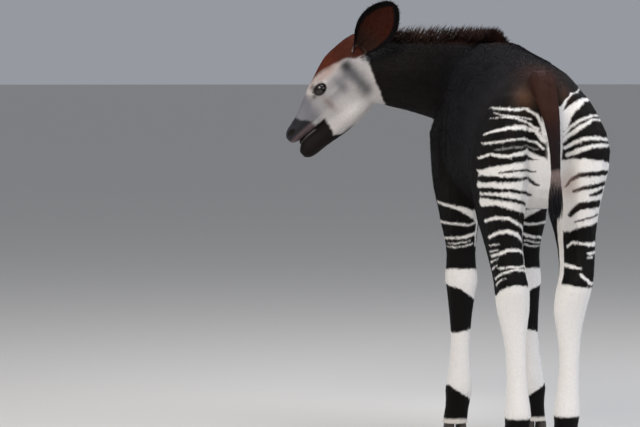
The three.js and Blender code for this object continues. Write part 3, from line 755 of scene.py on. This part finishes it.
# Geometry nodes that plant a lock all over a surface, along its lie, with each lock's root and map kept
def hairTree():
    tree = bpy.data.node_groups.new("hair on a surface", "GeometryNodeTree")
    sockets = {}
    for name, kind, value in [
        ("Geometry", "NodeSocketGeometry", None), ("Lock", "NodeSocketObject", None),
        ("Spacing", "NodeSocketFloat", 0.002), ("Density", "NodeSocketFloat", 300000.0),
        ("Seed", "NodeSocketInt", 1), ("Turn", "NodeSocketFloat", 0.2), ("Lift", "NodeSocketFloat", 0.1),
        ("Shortest", "NodeSocketFloat", 0.75), ("Material", "NodeSocketMaterial", None),
    ]:
        socket = tree.interface.new_socket(name=name, in_out="INPUT", socket_type=kind)
        if value is not None:
            socket.default_value = value
        sockets[name] = socket.identifier
    tree.interface.new_socket(name="Geometry", in_out="OUTPUT", socket_type="NodeSocketGeometry")
    given = addNode(tree, "NodeGroupInput").outputs

    def named(attribute, kind):
        node = addNode(tree, "GeometryNodeInputNamedAttribute", {"data_type": kind}, {}, {"Name": attribute})
        return node.outputs["Attribute"]

    def times(links, values=None):
        return addNode(tree, "ShaderNodeMath", {"operation": "MULTIPLY"}, links, values).outputs[0]

    def vector(operation, links, values=None):
        return addNode(tree, "ShaderNodeVectorMath", {"operation": operation}, links, values).outputs["Vector"]

    def stored(name, geometry, value, kind="FLOAT_VECTOR", domain="POINT"):
        node = addNode(tree, "GeometryNodeStoreNamedAttribute", {"data_type": kind, "domain": domain},
                       {"Geometry": geometry, "Value": value}, {"Name": name})
        return node.outputs["Geometry"]

    lie = named("lie", "FLOAT_VECTOR")
    hairLength = named("hairLength", "FLOAT")
    width = named("hairWidth", "FLOAT")
    spread = addNode(tree, "GeometryNodeDistributePointsOnFaces", {"distribute_method": "POISSON"}, {
        "Mesh": given["Geometry"], "Distance Min": given["Spacing"], "Density Max": given["Density"],
        "Density Factor": named("cover", "FLOAT"), "Seed": given["Seed"]})
    along = addNode(tree, "FunctionNodeAlignRotationToVector", {"axis": "X"}, {"Vector": lie})
    flat = addNode(tree, "FunctionNodeAlignRotationToVector", {"axis": "Z", "pivot_axis": "X"},
                   {"Rotation": along.outputs["Rotation"], "Vector": spread.outputs["Normal"]})
    most = addNode(tree, "ShaderNodeCombineXYZ", {}, {"X": given["Turn"], "Y": given["Lift"], "Z": given["Turn"]})
    swing = addNode(tree, "FunctionNodeRandomValue", {"data_type": "FLOAT_VECTOR"}, {
        "Min": vector("SCALE", {0: most.outputs["Vector"]}, {"Scale": -1.0}), "Max": most.outputs["Vector"],
        "Seed": given["Seed"]})
    swung = addNode(tree, "FunctionNodeEulerToRotation", {}, {"Euler": swing.outputs["Value"]})
    turned = addNode(tree, "FunctionNodeRotateRotation", {"rotation_space": "LOCAL"},
                     {"Rotation": flat.outputs["Rotation"], "Rotate By": swung.outputs["Rotation"]})
    size = addNode(tree, "FunctionNodeRandomValue", {"data_type": "FLOAT"}, {2: given["Shortest"]}, {3: 1.12})
    scale = addNode(tree, "ShaderNodeCombineXYZ", {},
                    {"X": times({0: hairLength, 1: size.outputs[1]}), "Y": width, "Z": width})
    lock = addNode(tree, "GeometryNodeObjectInfo", {}, {"Object": given["Lock"]})
    half = vector("SCALE", {0: lie, "Scale": times({0: hairLength}, {1: 0.5})})
    place = addNode(tree, "GeometryNodeInputPosition").outputs["Position"]
    rooted = stored("root", spread.outputs["Points"], vector("ADD", {0: place, 1: half}))
    mapped = stored("rootMap", rooted, named("OFBake", "FLOAT_VECTOR"))
    planted = addNode(tree, "GeometryNodeInstanceOnPoints", {}, {
        "Points": mapped, "Instance": lock.outputs["Geometry"], "Rotation": turned.outputs["Rotation"],
        "Scale": scale.outputs["Vector"]})
    real = addNode(tree, "GeometryNodeRealizeInstances", {}, {"Geometry": planted.outputs["Instances"]})
    patch = vector("SCALE", {0: named("patch", "FLOAT_VECTOR")}, {"Scale": 0.003})
    mapPlace = vector("ADD", {0: named("rootMap", "FLOAT_VECTOR"), 1: patch})
    unwrapped = stored("OFBake", real.outputs["Geometry"], mapPlace, "FLOAT2", "CORNER")
    painted = addNode(tree, "GeometryNodeSetMaterial", {}, {"Geometry": unwrapped, "Material": given["Material"]})
    addNode(tree, "NodeGroupOutput", {}, {"Geometry": painted.outputs["Geometry"]})
    return tree, sockets


hairGroup, hairSockets = hairTree()
hairCount = {"triangles": 0}


# What the hair on a surface follows: its lie, length and width in mm, cover from 0 to 1, and colour
def setHair(mesh, lie, length, width, cover, colour=None):
    count = len(mesh.vertices)
    writeAttribute(mesh, "lie", "FLOAT_VECTOR", lie)
    writeAttribute(mesh, "hairLength", "FLOAT", np.broadcast_to(length, count) / 1000)
    writeAttribute(mesh, "hairWidth", "FLOAT", np.broadcast_to(width, count) / 1000)
    writeAttribute(mesh, "cover", "FLOAT", np.broadcast_to(cover, count))
    if colour is not None:
        writeAttribute(mesh, "coatColour", "FLOAT_COLOR", np.c_[colour, np.ones(count)])


def growHair(name, surface, lock, slotName, colourOf=None, tip=None, **inputs):
    carrier = makeObject(name, surface.copy())
    lockObject = makeObject("lock of " + name, lock)
    grow = carrier.modifiers.new("hair", "NODES")
    grow.node_group = hairGroup
    grow[hairSockets["Lock"]] = lockObject
    grow[hairSockets["Material"]] = hairMaterial
    inputs.setdefault("Density", 0.9 / inputs["Spacing"] ** 2)
    for key, value in inputs.items():
        grow[hairSockets[key]] = value
    mesh = settle(carrier)
    bpy.data.objects.remove(lockObject)
    each = len(lock.vertices)
    if colourOf:
        roots = np.empty(len(mesh.vertices) * 3, np.float32)
        mesh.attributes["root"].data.foreach_get("vector", roots)
        tints = np.repeat(colourOf(toTrunk(roots.reshape(-1, 3)[::each])), each, axis=0)
    else:
        tints = np.empty(len(mesh.vertices) * 4, np.float32)
        mesh.attributes["coatColour"].data.foreach_get("color", tints)
        tints = tints.reshape(-1, 4)[:, :3].astype(float)
    if tip:
        along = np.tile(readPoints(lock)[:, 0], len(mesh.vertices) // each)
        tints += (palette[tip] - tints) * smoothStep(0.35, 1.1, along)[:, None]
    for attribute in ("lie", "hairLength", "hairWidth", "cover", "root", "rootMap", "patch", "coatColour"):
        if attribute in mesh.attributes:
            mesh.attributes.remove(mesh.attributes[attribute])
    writeAttribute(mesh, "coatColour", "FLOAT_COLOR", np.c_[tints, np.ones(len(tints))])
    count = len(mesh.polygons)
    hairCount["triangles"] += count
    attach(carrier, "root")
    maps = [layer.name for layer in mesh.uv_layers]
    say(f"{name}: {count // len(lock.polygons)} hairs, {count} triangles, maps {maps}")
    return carrier


# Direction in which the coat lies, before it is laid flat on the skin
def coatLie(points):
    x, y, z = points.T
    lie = np.tile(np.array([0.0, 0.9, -0.45]), (len(points), 1))
    rump = smoothStep(-200, -60, y) * smoothStep(560, 640, z)
    lie += rump[:, None] * (np.array([0.0, 0.1, -1.4]) - lie)
    low = 1 - smoothStep(600, 720, z)
    lie += low[:, None] * (np.array([0.0, 0.15, -1.0]) - lie)
    front = 1 - smoothStep(-640, -540, y)
    neckBack = np.array([-0.85, 0.3, -0.45])
    neckShare = front * smoothStep(20, 130, x) * smoothStep(700, 780, z)
    lie += neckShare[:, None] * (neckBack - lie)
    inHead = toHead(points)
    onHead = smoothStep(-15, 15, aheadOfNeck(inHead)) * (x > 120)
    headBack = -headAlong - 0.25 * headUp
    lie += onHead[:, None] * (headBack - lie)
    return unit(lie)


def layFlat(lie, normals, rise):
    flat = unit(lie - normals * (lie * normals).sum(axis=1)[:, None])
    return flat * np.cos(rise)[:, None] + normals * np.sin(rise)[:, None]


# Length and width of the hair in mm, and how far it rises from the skin in degrees
coatSettings = {
    "body": {"length": 8.5, "width": 1.3, "rise": 14},
    "haunch": {"length": 6.5, "width": 1.2, "rise": 11},
    "leg": {"length": 5.5, "width": 1.1, "rise": 10},
    "head": {"length": 5.5, "width": 0.95, "rise": 12},
    "muzzle": {"length": 2.6, "width": 0.7, "rise": 12},
}
trunk = toTrunk(readPoints(skinMesh))
normals = readNormals(skinMesh)
inHead = toHead(trunk)
onHead = smoothStep(-15, 15, aheadOfNeck(inHead)) * (trunk[:, 0] > 120)
onMuzzle = smoothStep(40, 105, inHead[:, 0]) * onHead
onLeg = 1 - smoothStep(380, 600, trunk[:, 2])
onHaunch = smoothStep(-340, -230, trunk[:, 1]) * (1 - smoothStep(880, 930, trunk[:, 2]))
sizes = {}
for key in ("length", "width", "rise"):
    value = np.full(len(trunk), coatSettings["body"][key], float)
    for share, part in ((onHaunch, "haunch"), (onLeg, "leg"), (onHead, "head"), (onMuzzle, "muzzle")):
        value += share * (coatSettings[part][key] - value)
    sizes[key] = value
noseLeather = smoothStep(112, 124, inHead[:, 0]) * smoothStep(-62, -50, inHead[:, 1]) * onHead
eyeGap = np.hypot(inHead[:, 0] / 17, inHead[:, 1] / 12.5)
eyeRoom = (eyeGap < 1.18) & (np.abs(inHead[:, 2]) > 28) & (onHead > 0.5)
insideMouth = (inHead[:, 0] > 66) & (inHead[:, 1] < -58) & (inHead[:, 1] > -70) & (np.abs(normals @ headSide) < 0.5)
coronet = 1 - smoothStep(46, 50, trunk[:, 2])
bare = np.clip(noseLeather + eyeRoom + insideMouth + coronet, 0, 1)
lie = layFlat(coatLie(trunk), normals, np.radians(sizes["rise"]))
setHair(skinMesh, lie, sizes["length"], sizes["width"], 0)

x, y, z = trunk.T
bodySpacing = 0.0021
regions = {
    "head_coat": (onHead > 0.5, 0.0014),
    "neck_coat": ((onHead <= 0.5) & (x > 60) & (y < -600) & (z > 700), bodySpacing),
}
taken = regions["head_coat"][0] | regions["neck_coat"][0]
upper = z > 600
for name, part in [
    ("haunch_coat", upper & (y > -250)), ("flank_coat", upper & (y <= -250) & (y > -480)),
    ("shoulder_coat", upper & (y <= -480)), ("hind_leg_coat", ~upper & (y > -380)),
    ("foreleg_coat", ~upper & (y <= -380)),
]:
    regions[name + "_left"] = (part & (x >= 0) & ~taken, bodySpacing)
    regions[name + "_right"] = (part & (x < 0) & ~taken, bodySpacing)
shortHair = lockMesh("short hair", [(-0.08, -0.5, 1.0), (1.0, 0.25, 0.0)])
for number, (name, (part, spacing)) in enumerate(regions.items()):
    writeAttribute(skinMesh, "cover", "FLOAT", part * (1 - bare))
    growHair(name, skinMesh, shortHair, "face" if name == "head_coat" else "coat", coatColour,
             Spacing=spacing, Seed=number + 3, Turn=0.22, Lift=0.09, Shortest=0.7)
say(f"coat has {hairCount['triangles']} triangles")

# Eyes: wet, dark brown globes
eyeMaterial = plainMaterial(
    "Wet dark eye", "#160c08", {"Roughness": 0.2, "Coat Weight": 0.2, "Coat Roughness": 0.05})
eyeSettings = {"radius": 18.6, "side": 43, "around": 48, "along": 32}
for name, side in (("left", 1), ("right", -1)):
    shape = bmesh.new()
    bmesh.ops.create_uvsphere(shape, u_segments=eyeSettings["around"], v_segments=eyeSettings["along"], radius=1)
    mesh = bpy.data.meshes.new("eye")
    shape.to_mesh(mesh)
    shape.free()
    local = readPoints(mesh) * eyeSettings["radius"]
    writePoints(mesh, toRow(fromHead(local + np.array([0, 0, side * eyeSettings["side"]]))))
    smoothShade(mesh)
    mesh.materials.append(eyeMaterial)
    eye = makeObject("globe_" + name, mesh)
    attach(eye, "root")
    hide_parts("eye_" + name)
say("eyes made")

# Hooves: dark horn, worn dull, with faint rings of growth
hoofMaterial, tree = newMaterial("Dark worn horn")
place = addNode(tree, "ShaderNodeTexCoord")
rings = addNode(tree, "ShaderNodeTexWave", {"bands_direction": "Z"}, {"Vector": place.outputs["Object"]},
                {"Scale": 60.0, "Distortion": 3.0, "Detail": 2.0})
tone = addNode(tree, "ShaderNodeMix", {"data_type": "RGBA"}, {"Factor": rings.outputs["Fac"]},
               {"A": tuple(linear("#2a2521")), "B": tuple(linear("#4a423a"))})
bump = addNode(tree, "ShaderNodeBump", {}, {"Height": rings.outputs["Fac"]}, {"Strength": 0.3, "Distance": 0.0006})
surfaced(tree, {"Base Color": tone.outputs["Result"], "Normal": bump.outputs["Normal"]}, {"Roughness": 0.5})
hoofSettings = {"voxel": 0.0016, "rounds": 8}
for end in ("hind", "front"):
    for side in ("left", "right"):
        for half in ("outer", "inner"):
            node = f"hoof_{end}_{side}_{half}"
            hoof = makeObject(f"claw_{end}_{side}_{half}", copyOf(node))
            mesh = fused(hoof, hoofSettings["voxel"])
            points = readPoints(mesh)
            free = smoothStep(0.001, 0.004, points[:, 2])
            writePoints(mesh, relaxed(mesh, points, hoofSettings["rounds"], free))
            smoothShade(mesh)
            mesh.materials.clear()
            mesh.materials.append(hoofMaterial)
            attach(hoof, "root")
            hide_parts(node)
say("hooves made")

# Mane: upright hair along the crest, leaning back, raised over the withers
maneSettings = {"half": 14, "length": 45, "lean": 0.5, "width": 1.7, "spacing": 0.0015}
maneHair = lockMesh("mane hair", [(-0.08, -0.5, 1.0), (0.4, 0.0, 0.9), (0.75, -1.2, 0.6), (1.0, -3.0, 0.0)])
crestGap, crestShare = nearLine(trunk, crestLine)
crestHigh = np.interp(crestShare, np.arange(len(crestLine)), crestLine[:, 2])
onCrest = (crestGap < maneSettings["half"]) & (trunk[:, 2] > crestHigh - 16) & (crestShare > 0.02) & (onHead < 0.6)
piece = np.clip(crestShare.astype(int), 0, len(crestLine) - 2)
crestStep = unit((crestLine[1:] - crestLine[:-1]) * (1, 1, 0))[piece]
crestBase = crestLine[piece] + (crestShare - piece)[:, None] * (crestLine[piece + 1] - crestLine[piece])
aside = (trunk - crestBase) * (1, 1, 0) / maneSettings["half"]
maneLie = unit(np.array([0, 0, 1.0]) - maneSettings["lean"] * crestStep + 0.3 * aside)
maneLong = np.interp(crestShare, [0, 1, 2, 3, 5, 10, 13], [0.12, 0.3, 0.6, 0.85, 1.0, 1.0, 0.75])
maneLong = maneLong * (1 - 0.25 * (crestGap / maneSettings["half"]) ** 2)
setHair(skinMesh, maneLie, maneLong * maneSettings["length"], maneSettings["width"], onCrest.astype(float))
growHair("mane_hair", skinMesh, maneHair, "coat", coatColour, "maneTip",
         Spacing=maneSettings["spacing"], Seed=41, Turn=0.2, Lift=0.2, Shortest=0.7)


# Closed mesh of rows of points round a path, with a map laid out along and round it
def wrappedMesh(name, rows, closed=False):
    count, around = rows.shape[:2]
    faces = []
    for r in range(count if closed else count - 1):
        for k in range(around):
            n = (k + 1) % around
            below = (r + 1) % count
            faces.append((r * around + k, below * around + k, below * around + n, r * around + n))
    if not closed:
        for base, turned in ((0, False), ((count - 1) * around, True)):
            for k in range(around // 2):
                cap = [base + k, base + k + 1, base + around - k - 1, base + (around - k) % around]
                cap = list(dict.fromkeys(cap))
                faces.append(tuple(reversed(cap)) if turned else tuple(cap))
    mesh = meshOf(name, toRow(rows.reshape(-1, 3)), faces)
    shape = bmesh.new()
    shape.from_mesh(mesh)
    bmesh.ops.recalc_face_normals(shape, faces=shape.faces)
    shape.to_mesh(mesh)
    shape.free()
    layer = mesh.uv_layers.new(name="OFBake")
    for face in mesh.polygons:
        first = mesh.loops[face.loop_start].vertex_index
        for loop in face.loop_indices:
            r, k = divmod(mesh.loops[loop].vertex_index, around)
            if k == 0 and first % around > around // 2:
                k = around
            layer.data[loop].uv = (0.02 + 0.9 * k / around, 0.02 + 0.9 * r / count)
    smoothShade(mesh)
    return mesh


# Smooth curve through a table's rows, read at shares from 0 to 1
def between(table, t):
    table = np.asarray(table, float)
    last = len(table) - 1
    place = np.clip(t, 0, 1) * last
    i = np.minimum(place.astype(int), last - 1)
    f = (place - i)[:, None]
    p, q, r, s = (table[np.clip(i + k, 0, last)] for k in (-1, 0, 1, 2))
    slopeIn, slopeOut = (r - p) / 2, (s - q) / 2
    return q + f * (slopeIn + f * (3 * (r - q) - 2 * slopeIn - slopeOut + f * (2 * (q - r) + slopeIn + slopeOut)))


# Ears: cupped leaves with a broad black rim, hollow side outwards and forwards
earSettings = {
    "length": 171, "root": (-134, 2, 45), "lean": (-0.92, 0.17, 0.36), "wall": 1.4, "around": 72, "along": 48,
    "stations": [
        [0, 40, 2.4], [0.14, 45, 1.95], [0.3, 53, 1.35], [0.48, 58, 1], [0.66, 55, 0.88], [0.82, 43, 0.8],
        [0.94, 24, 0.7], [0.985, 9, 0.5],
    ],
    "spacing": 0.0015, "hairWidth": 0.8,
}
earHair = lockMesh("ear hair", [(-0.08, -0.5, 1.0), (0.55, 0.3, 0.7), (1.0, 0.2, 0.0)])
for name, side in (("left", 1), ("right", -1)):
    lean = unit(np.array(earSettings["lean"]) * (1, 1, side)) @ headAxes
    opening = np.array([0.25, 0, side]) @ headAxes
    opening = unit(opening - (opening @ lean) * lean)
    across = np.cross(lean, opening) * side
    root = fromHead(np.array(earSettings["root"]) * (1, 1, side))
    t = np.linspace(0, 1, earSettings["along"])
    angle = np.linspace(0, 2 * math.pi, earSettings["around"], endpoint=False)[None, :]
    share, halfArc, bow = (column[:, None] for column in between(earSettings["stations"], t).T)
    radius = halfArc / bow
    thin = np.clip(6 * np.minimum(t, 1 - t), 0.2, 1)[:, None]
    wall = thin * earSettings["wall"] * np.sign(np.sin(angle)) * np.abs(np.sin(angle)) ** 0.5
    ripple = 1.2 * np.sin(share * 15 + 2) * np.abs(np.cos(angle)) ** 4
    turn = bow * np.cos(angle)
    sideways = (radius + wall) * np.sin(turn)
    outwards = radius * np.cos(bow * 0.5) - (radius + wall) * np.cos(turn) + ripple
    rows = (root + (earSettings["length"] * share)[..., None] * lean + sideways[..., None] * across
            + outwards[..., None] * opening)
    mesh = wrappedMesh("ear", rows)
    toEdge = (halfArc * (1 - np.abs(np.cos(angle)))).ravel()
    share = np.broadcast_to(share, turn.shape).ravel()
    inside = np.broadcast_to(np.sin(angle) < -0.02, turn.shape).ravel()
    rimWidth = np.interp(share, [0, 0.3, 0.7, 1], [5, 15, 20, 30])
    tint = np.tile(palette["earRim"], (len(share), 1))
    hollow = inside * smoothStep(-4, 5, toEdge - rimWidth + 2 * wobble(toTrunk(readPoints(mesh)), 6, 21))
    tint = blend(tint, "earInside", hollow)
    tint = blend(tint, "smudge", 0.6 * hollow * (1 - smoothStep(0.2, 0.5, share)))
    tint = blend(tint, "hollow", 1 - smoothStep(0.03, 0.08, share))
    away = np.sign(np.cos(angle)) * np.abs(np.cos(angle)) ** 3
    away = np.broadcast_to(away, turn.shape).ravel()
    lie = unit(lean + (0.5 + 0.4 * (toEdge < 5))[:, None] * away[:, None] * across)
    rise = np.where(toEdge < 4, 0.1, np.where(inside, 0.35, 0.2))
    long = np.where(inside, 7 + 6 * (1 - smoothStep(0.1, 0.5, share)), 5) + 1.5 * (toEdge < 5)
    setHair(mesh, layFlat(lie, readNormals(mesh), rise), long, earSettings["hairWidth"], 1, tint)
    growHair("ear_hair_" + name, mesh, earHair, "ear",
             Spacing=earSettings["spacing"], Seed=51 + side, Turn=0.25, Lift=0.2, Shortest=0.6)
    mesh.materials.append(skinMesh.materials[0])
    ear = makeObject("blade_" + name, mesh)
    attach(ear, "root")
    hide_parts("ear_" + name)
say("ears made")

# Eyelids: a dark wet rim round each opening, with lashes on the upper one
lidMaterial = plainMaterial("Dark eyelid rim", "#120d0c", {"Roughness": 0.35})
lidSettings = {
    "length": 16.6, "height": 12.2, "globe": 19.0, "side": 43, "thick": 2.1, "around": 56, "section": 10,
    "lash": 10, "lashWidth": 0.6, "lashDensity": 500000.0,
}
lash = lockMesh("lash", [(-0.05, -0.3, 1.0), (0.35, 0.0, 0.8), (0.7, -1.5, 0.5), (1.0, -5.0, 0.0)])
for name, side in (("left", 1), ("right", -1)):
    turn = np.linspace(0, 2 * math.pi, lidSettings["around"], endpoint=False)
    a = lidSettings["length"] * np.cos(turn)
    u = lidSettings["height"] * np.sin(turn)
    depth = np.sqrt(lidSettings["globe"] ** 2 - a ** 2 - u ** 2)
    path = np.stack([a, u, side * (lidSettings["side"] + depth)], axis=1)
    centre = np.array([0, 0, side * lidSettings["side"]])
    outward = unit(path - centre)
    tangent = unit(np.roll(path, -1, 0) - np.roll(path, 1, 0))
    across = np.cross(tangent, outward)
    thick = lidSettings["thick"] * (1 + 0.25 * np.sin(turn))
    section = np.linspace(0, 2 * math.pi, lidSettings["section"], endpoint=False)
    rows = path[:, None] + thick[:, None, None] * (
        np.cos(section)[None, :, None] * across[:, None] + 0.8 * np.sin(section)[None, :, None] * outward[:, None])
    mesh = wrappedMesh("lid", fromHead(rows.reshape(-1, 3)).reshape(rows.shape), closed=True)
    mesh.materials.append(lidMaterial)
    upper = np.repeat(smoothStep(0.15, 0.4, np.sin(turn)), len(section)) * np.tile(np.sin(section) > 0.5, len(turn))
    lie = 0.9 * outward + np.array([0, 0.35, 0]) + 0.4 * np.c_[np.cos(turn), np.zeros((len(turn), 2))]
    lie = np.repeat(lie, len(section), axis=0)
    setHair(mesh, unit(lie) @ headAxes, lidSettings["lash"], lidSettings["lashWidth"], upper,
            np.tile(palette["black"], (len(lie), 1)))
    growHair("lashes_" + name, mesh, lash, "face", Spacing=0.0015, Density=lidSettings["lashDensity"],
             Seed=61 + side, Turn=0.08, Lift=0.06, Shortest=0.7)
    lid = makeObject("lid_" + name, mesh)
    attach(lid, "root")
say("lids made")

# Inside of the mouth: a near-black lining behind the lips, dark gums with painted shade of the mouth's cavity. Along
# the head, height of the middle, half height, half width
mouthStations = [[52, -70, 6, 9], [80, -68, 9, 15], [110, -66, 10, 16], [128, -67, 9, 14], [136, -68, 4, 7]]
turn = np.linspace(0, 2 * math.pi, 24, endpoint=False)
rows = np.array([
    np.stack([np.full(len(turn), a), middle + high * np.sin(turn), wide * np.cos(turn)], axis=1)
    for a, middle, high, wide in between(mouthStations, np.linspace(0, 1, 16))
])
mesh = wrappedMesh("mouth", fromHead(rows.reshape(-1, 3)).reshape(rows.shape))
mesh.materials.append(lidMaterial)
mouthInside = makeObject("mouth_inside", mesh)
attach(mouthInside, "root")

# Tail tuft: long slate-black hair round a thin core at the end of the tail
tuftSettings = {
    "stations": [[704, 0.55], [690, 0.7], [674, 0.8], [658, 0.78], [641, 0.6], [624, 0.25]],
    "spacing": 0.0016, "width": 1.3,
}
height = between(tuftSettings["stations"], np.linspace(0, 1, 18))
turn = np.linspace(0, 2 * math.pi, 28, endpoint=False)
core = []
for z, size in height:
    x, y, half, deep = (np.interp(-z, -tailAxis[:, 0], tailAxis[:, column]) for column in range(1, 5))
    core.append(np.stack(
        [x + size * half * np.cos(turn), y + size * deep * np.sin(turn), np.full(len(turn), z)], axis=1))
core = np.array(core)
mesh = wrappedMesh("tuft core", core)
out = np.stack([np.cos(turn), np.sin(turn), 0 * turn], axis=1)
level = np.repeat(height[:, 0], len(turn))
lie = unit(np.tile(0.1 * out, (len(core), 1)) + np.array([0, 0, -1.0]))
long = np.interp(level, [624, 650, 674, 684], [36, 58, 76, 12])
tint = blend(np.tile(palette["slate"], (len(level), 1)), "hollow", 0.75 * smoothStep(674, 686, level))
setHair(mesh, lie, long, tuftSettings["width"], 1, tint)
tuftLock = lockMesh("tuft lock", [(-0.04, -0.5, 0.9), (0.3, 1.5, 1.0), (0.7, 1.0, 0.75), (1.0, -1.5, 0.0)])
tuftObject = growHair("tuft_hair", mesh, tuftLock, "tuft",
                      Spacing=tuftSettings["spacing"], Seed=71, Turn=0.07, Lift=0.06, Shortest=0.6)
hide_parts("tail_tuft")
mesh.materials.append(hairMaterial)
tuftCore = makeObject("tuft_core", mesh)
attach(tuftCore, "root")
say(f"tuft made, hair has {hairCount['triangles']} triangles in all")

# Floor, light and camera
floorMaterial = plainMaterial("Pale studio floor", "#d2cfca", {"Roughness": 0.9})
reach = 300.0
floorMesh = meshOf(
    "floor", [(-reach, -reach, 0), (reach, -reach, 0), (reach, reach, 0), (-reach, reach, 0)], [(0, 1, 2, 3)])
floorMesh.materials.append(floorMaterial)
floor = makeObject("floor", floorMesh)

scene = bpy.context.scene
scene.view_settings.view_transform = "Standard"
world = bpy.data.worlds.new("Soft studio")
scene.world = world
world.use_nodes = True
background = world.node_tree.nodes["Background"].inputs
background["Color"].default_value = tuple(linear("#dde2ec"))
background["Strength"].default_value = 0.42

lights = [
    {"name": "key light", "place": (2200, 2600, 3600), "size": 2.6, "power": 128, "tint": "#fff6ea"},
    {"name": "top light", "place": (-600, -500, 3800), "size": 3.0, "power": 92, "tint": "#f2f6ff"},
    {"name": "fill light", "place": (-3000, 2200, 1800), "size": 2.6, "power": 42, "tint": "#eef3ff"},
]
for light in lights:
    data = bpy.data.lights.new(light["name"], "AREA")
    data.shape = "DISK"
    data.size = light["size"]
    data.energy = light["power"]
    data.color = tuple(linear(light["tint"])[:3])
    lamp = bpy.data.objects.new(light["name"], data)
    scene.collection.objects.link(lamp)
    lamp.location = Vector(toRow(light["place"]))
    aim = Vector(toRow((100, -400, 700))) - lamp.location
    lamp.rotation_euler = aim.to_track_quat("-Z", "Y").to_euler()

cameraSettings = {"place": (1476, 5619, 920), "yaw": 9.47, "pitch": 3.10, "focal": 2520, "width": 640}
cameraData = bpy.data.cameras.new("camera")
cameraData.sensor_width = 36
cameraData.lens = cameraSettings["focal"] / cameraSettings["width"] * 36
cameraData.clip_end = 600
camera = bpy.data.objects.new("camera", cameraData)
scene.collection.objects.link(camera)
camera.location = Vector(toRow(cameraSettings["place"]))
camera.rotation_euler = Euler(
    (math.radians(90 - cameraSettings["pitch"]), 0, math.radians(180 - cameraSettings["yaw"])))
scene.camera = camera

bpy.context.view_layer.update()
say("done")
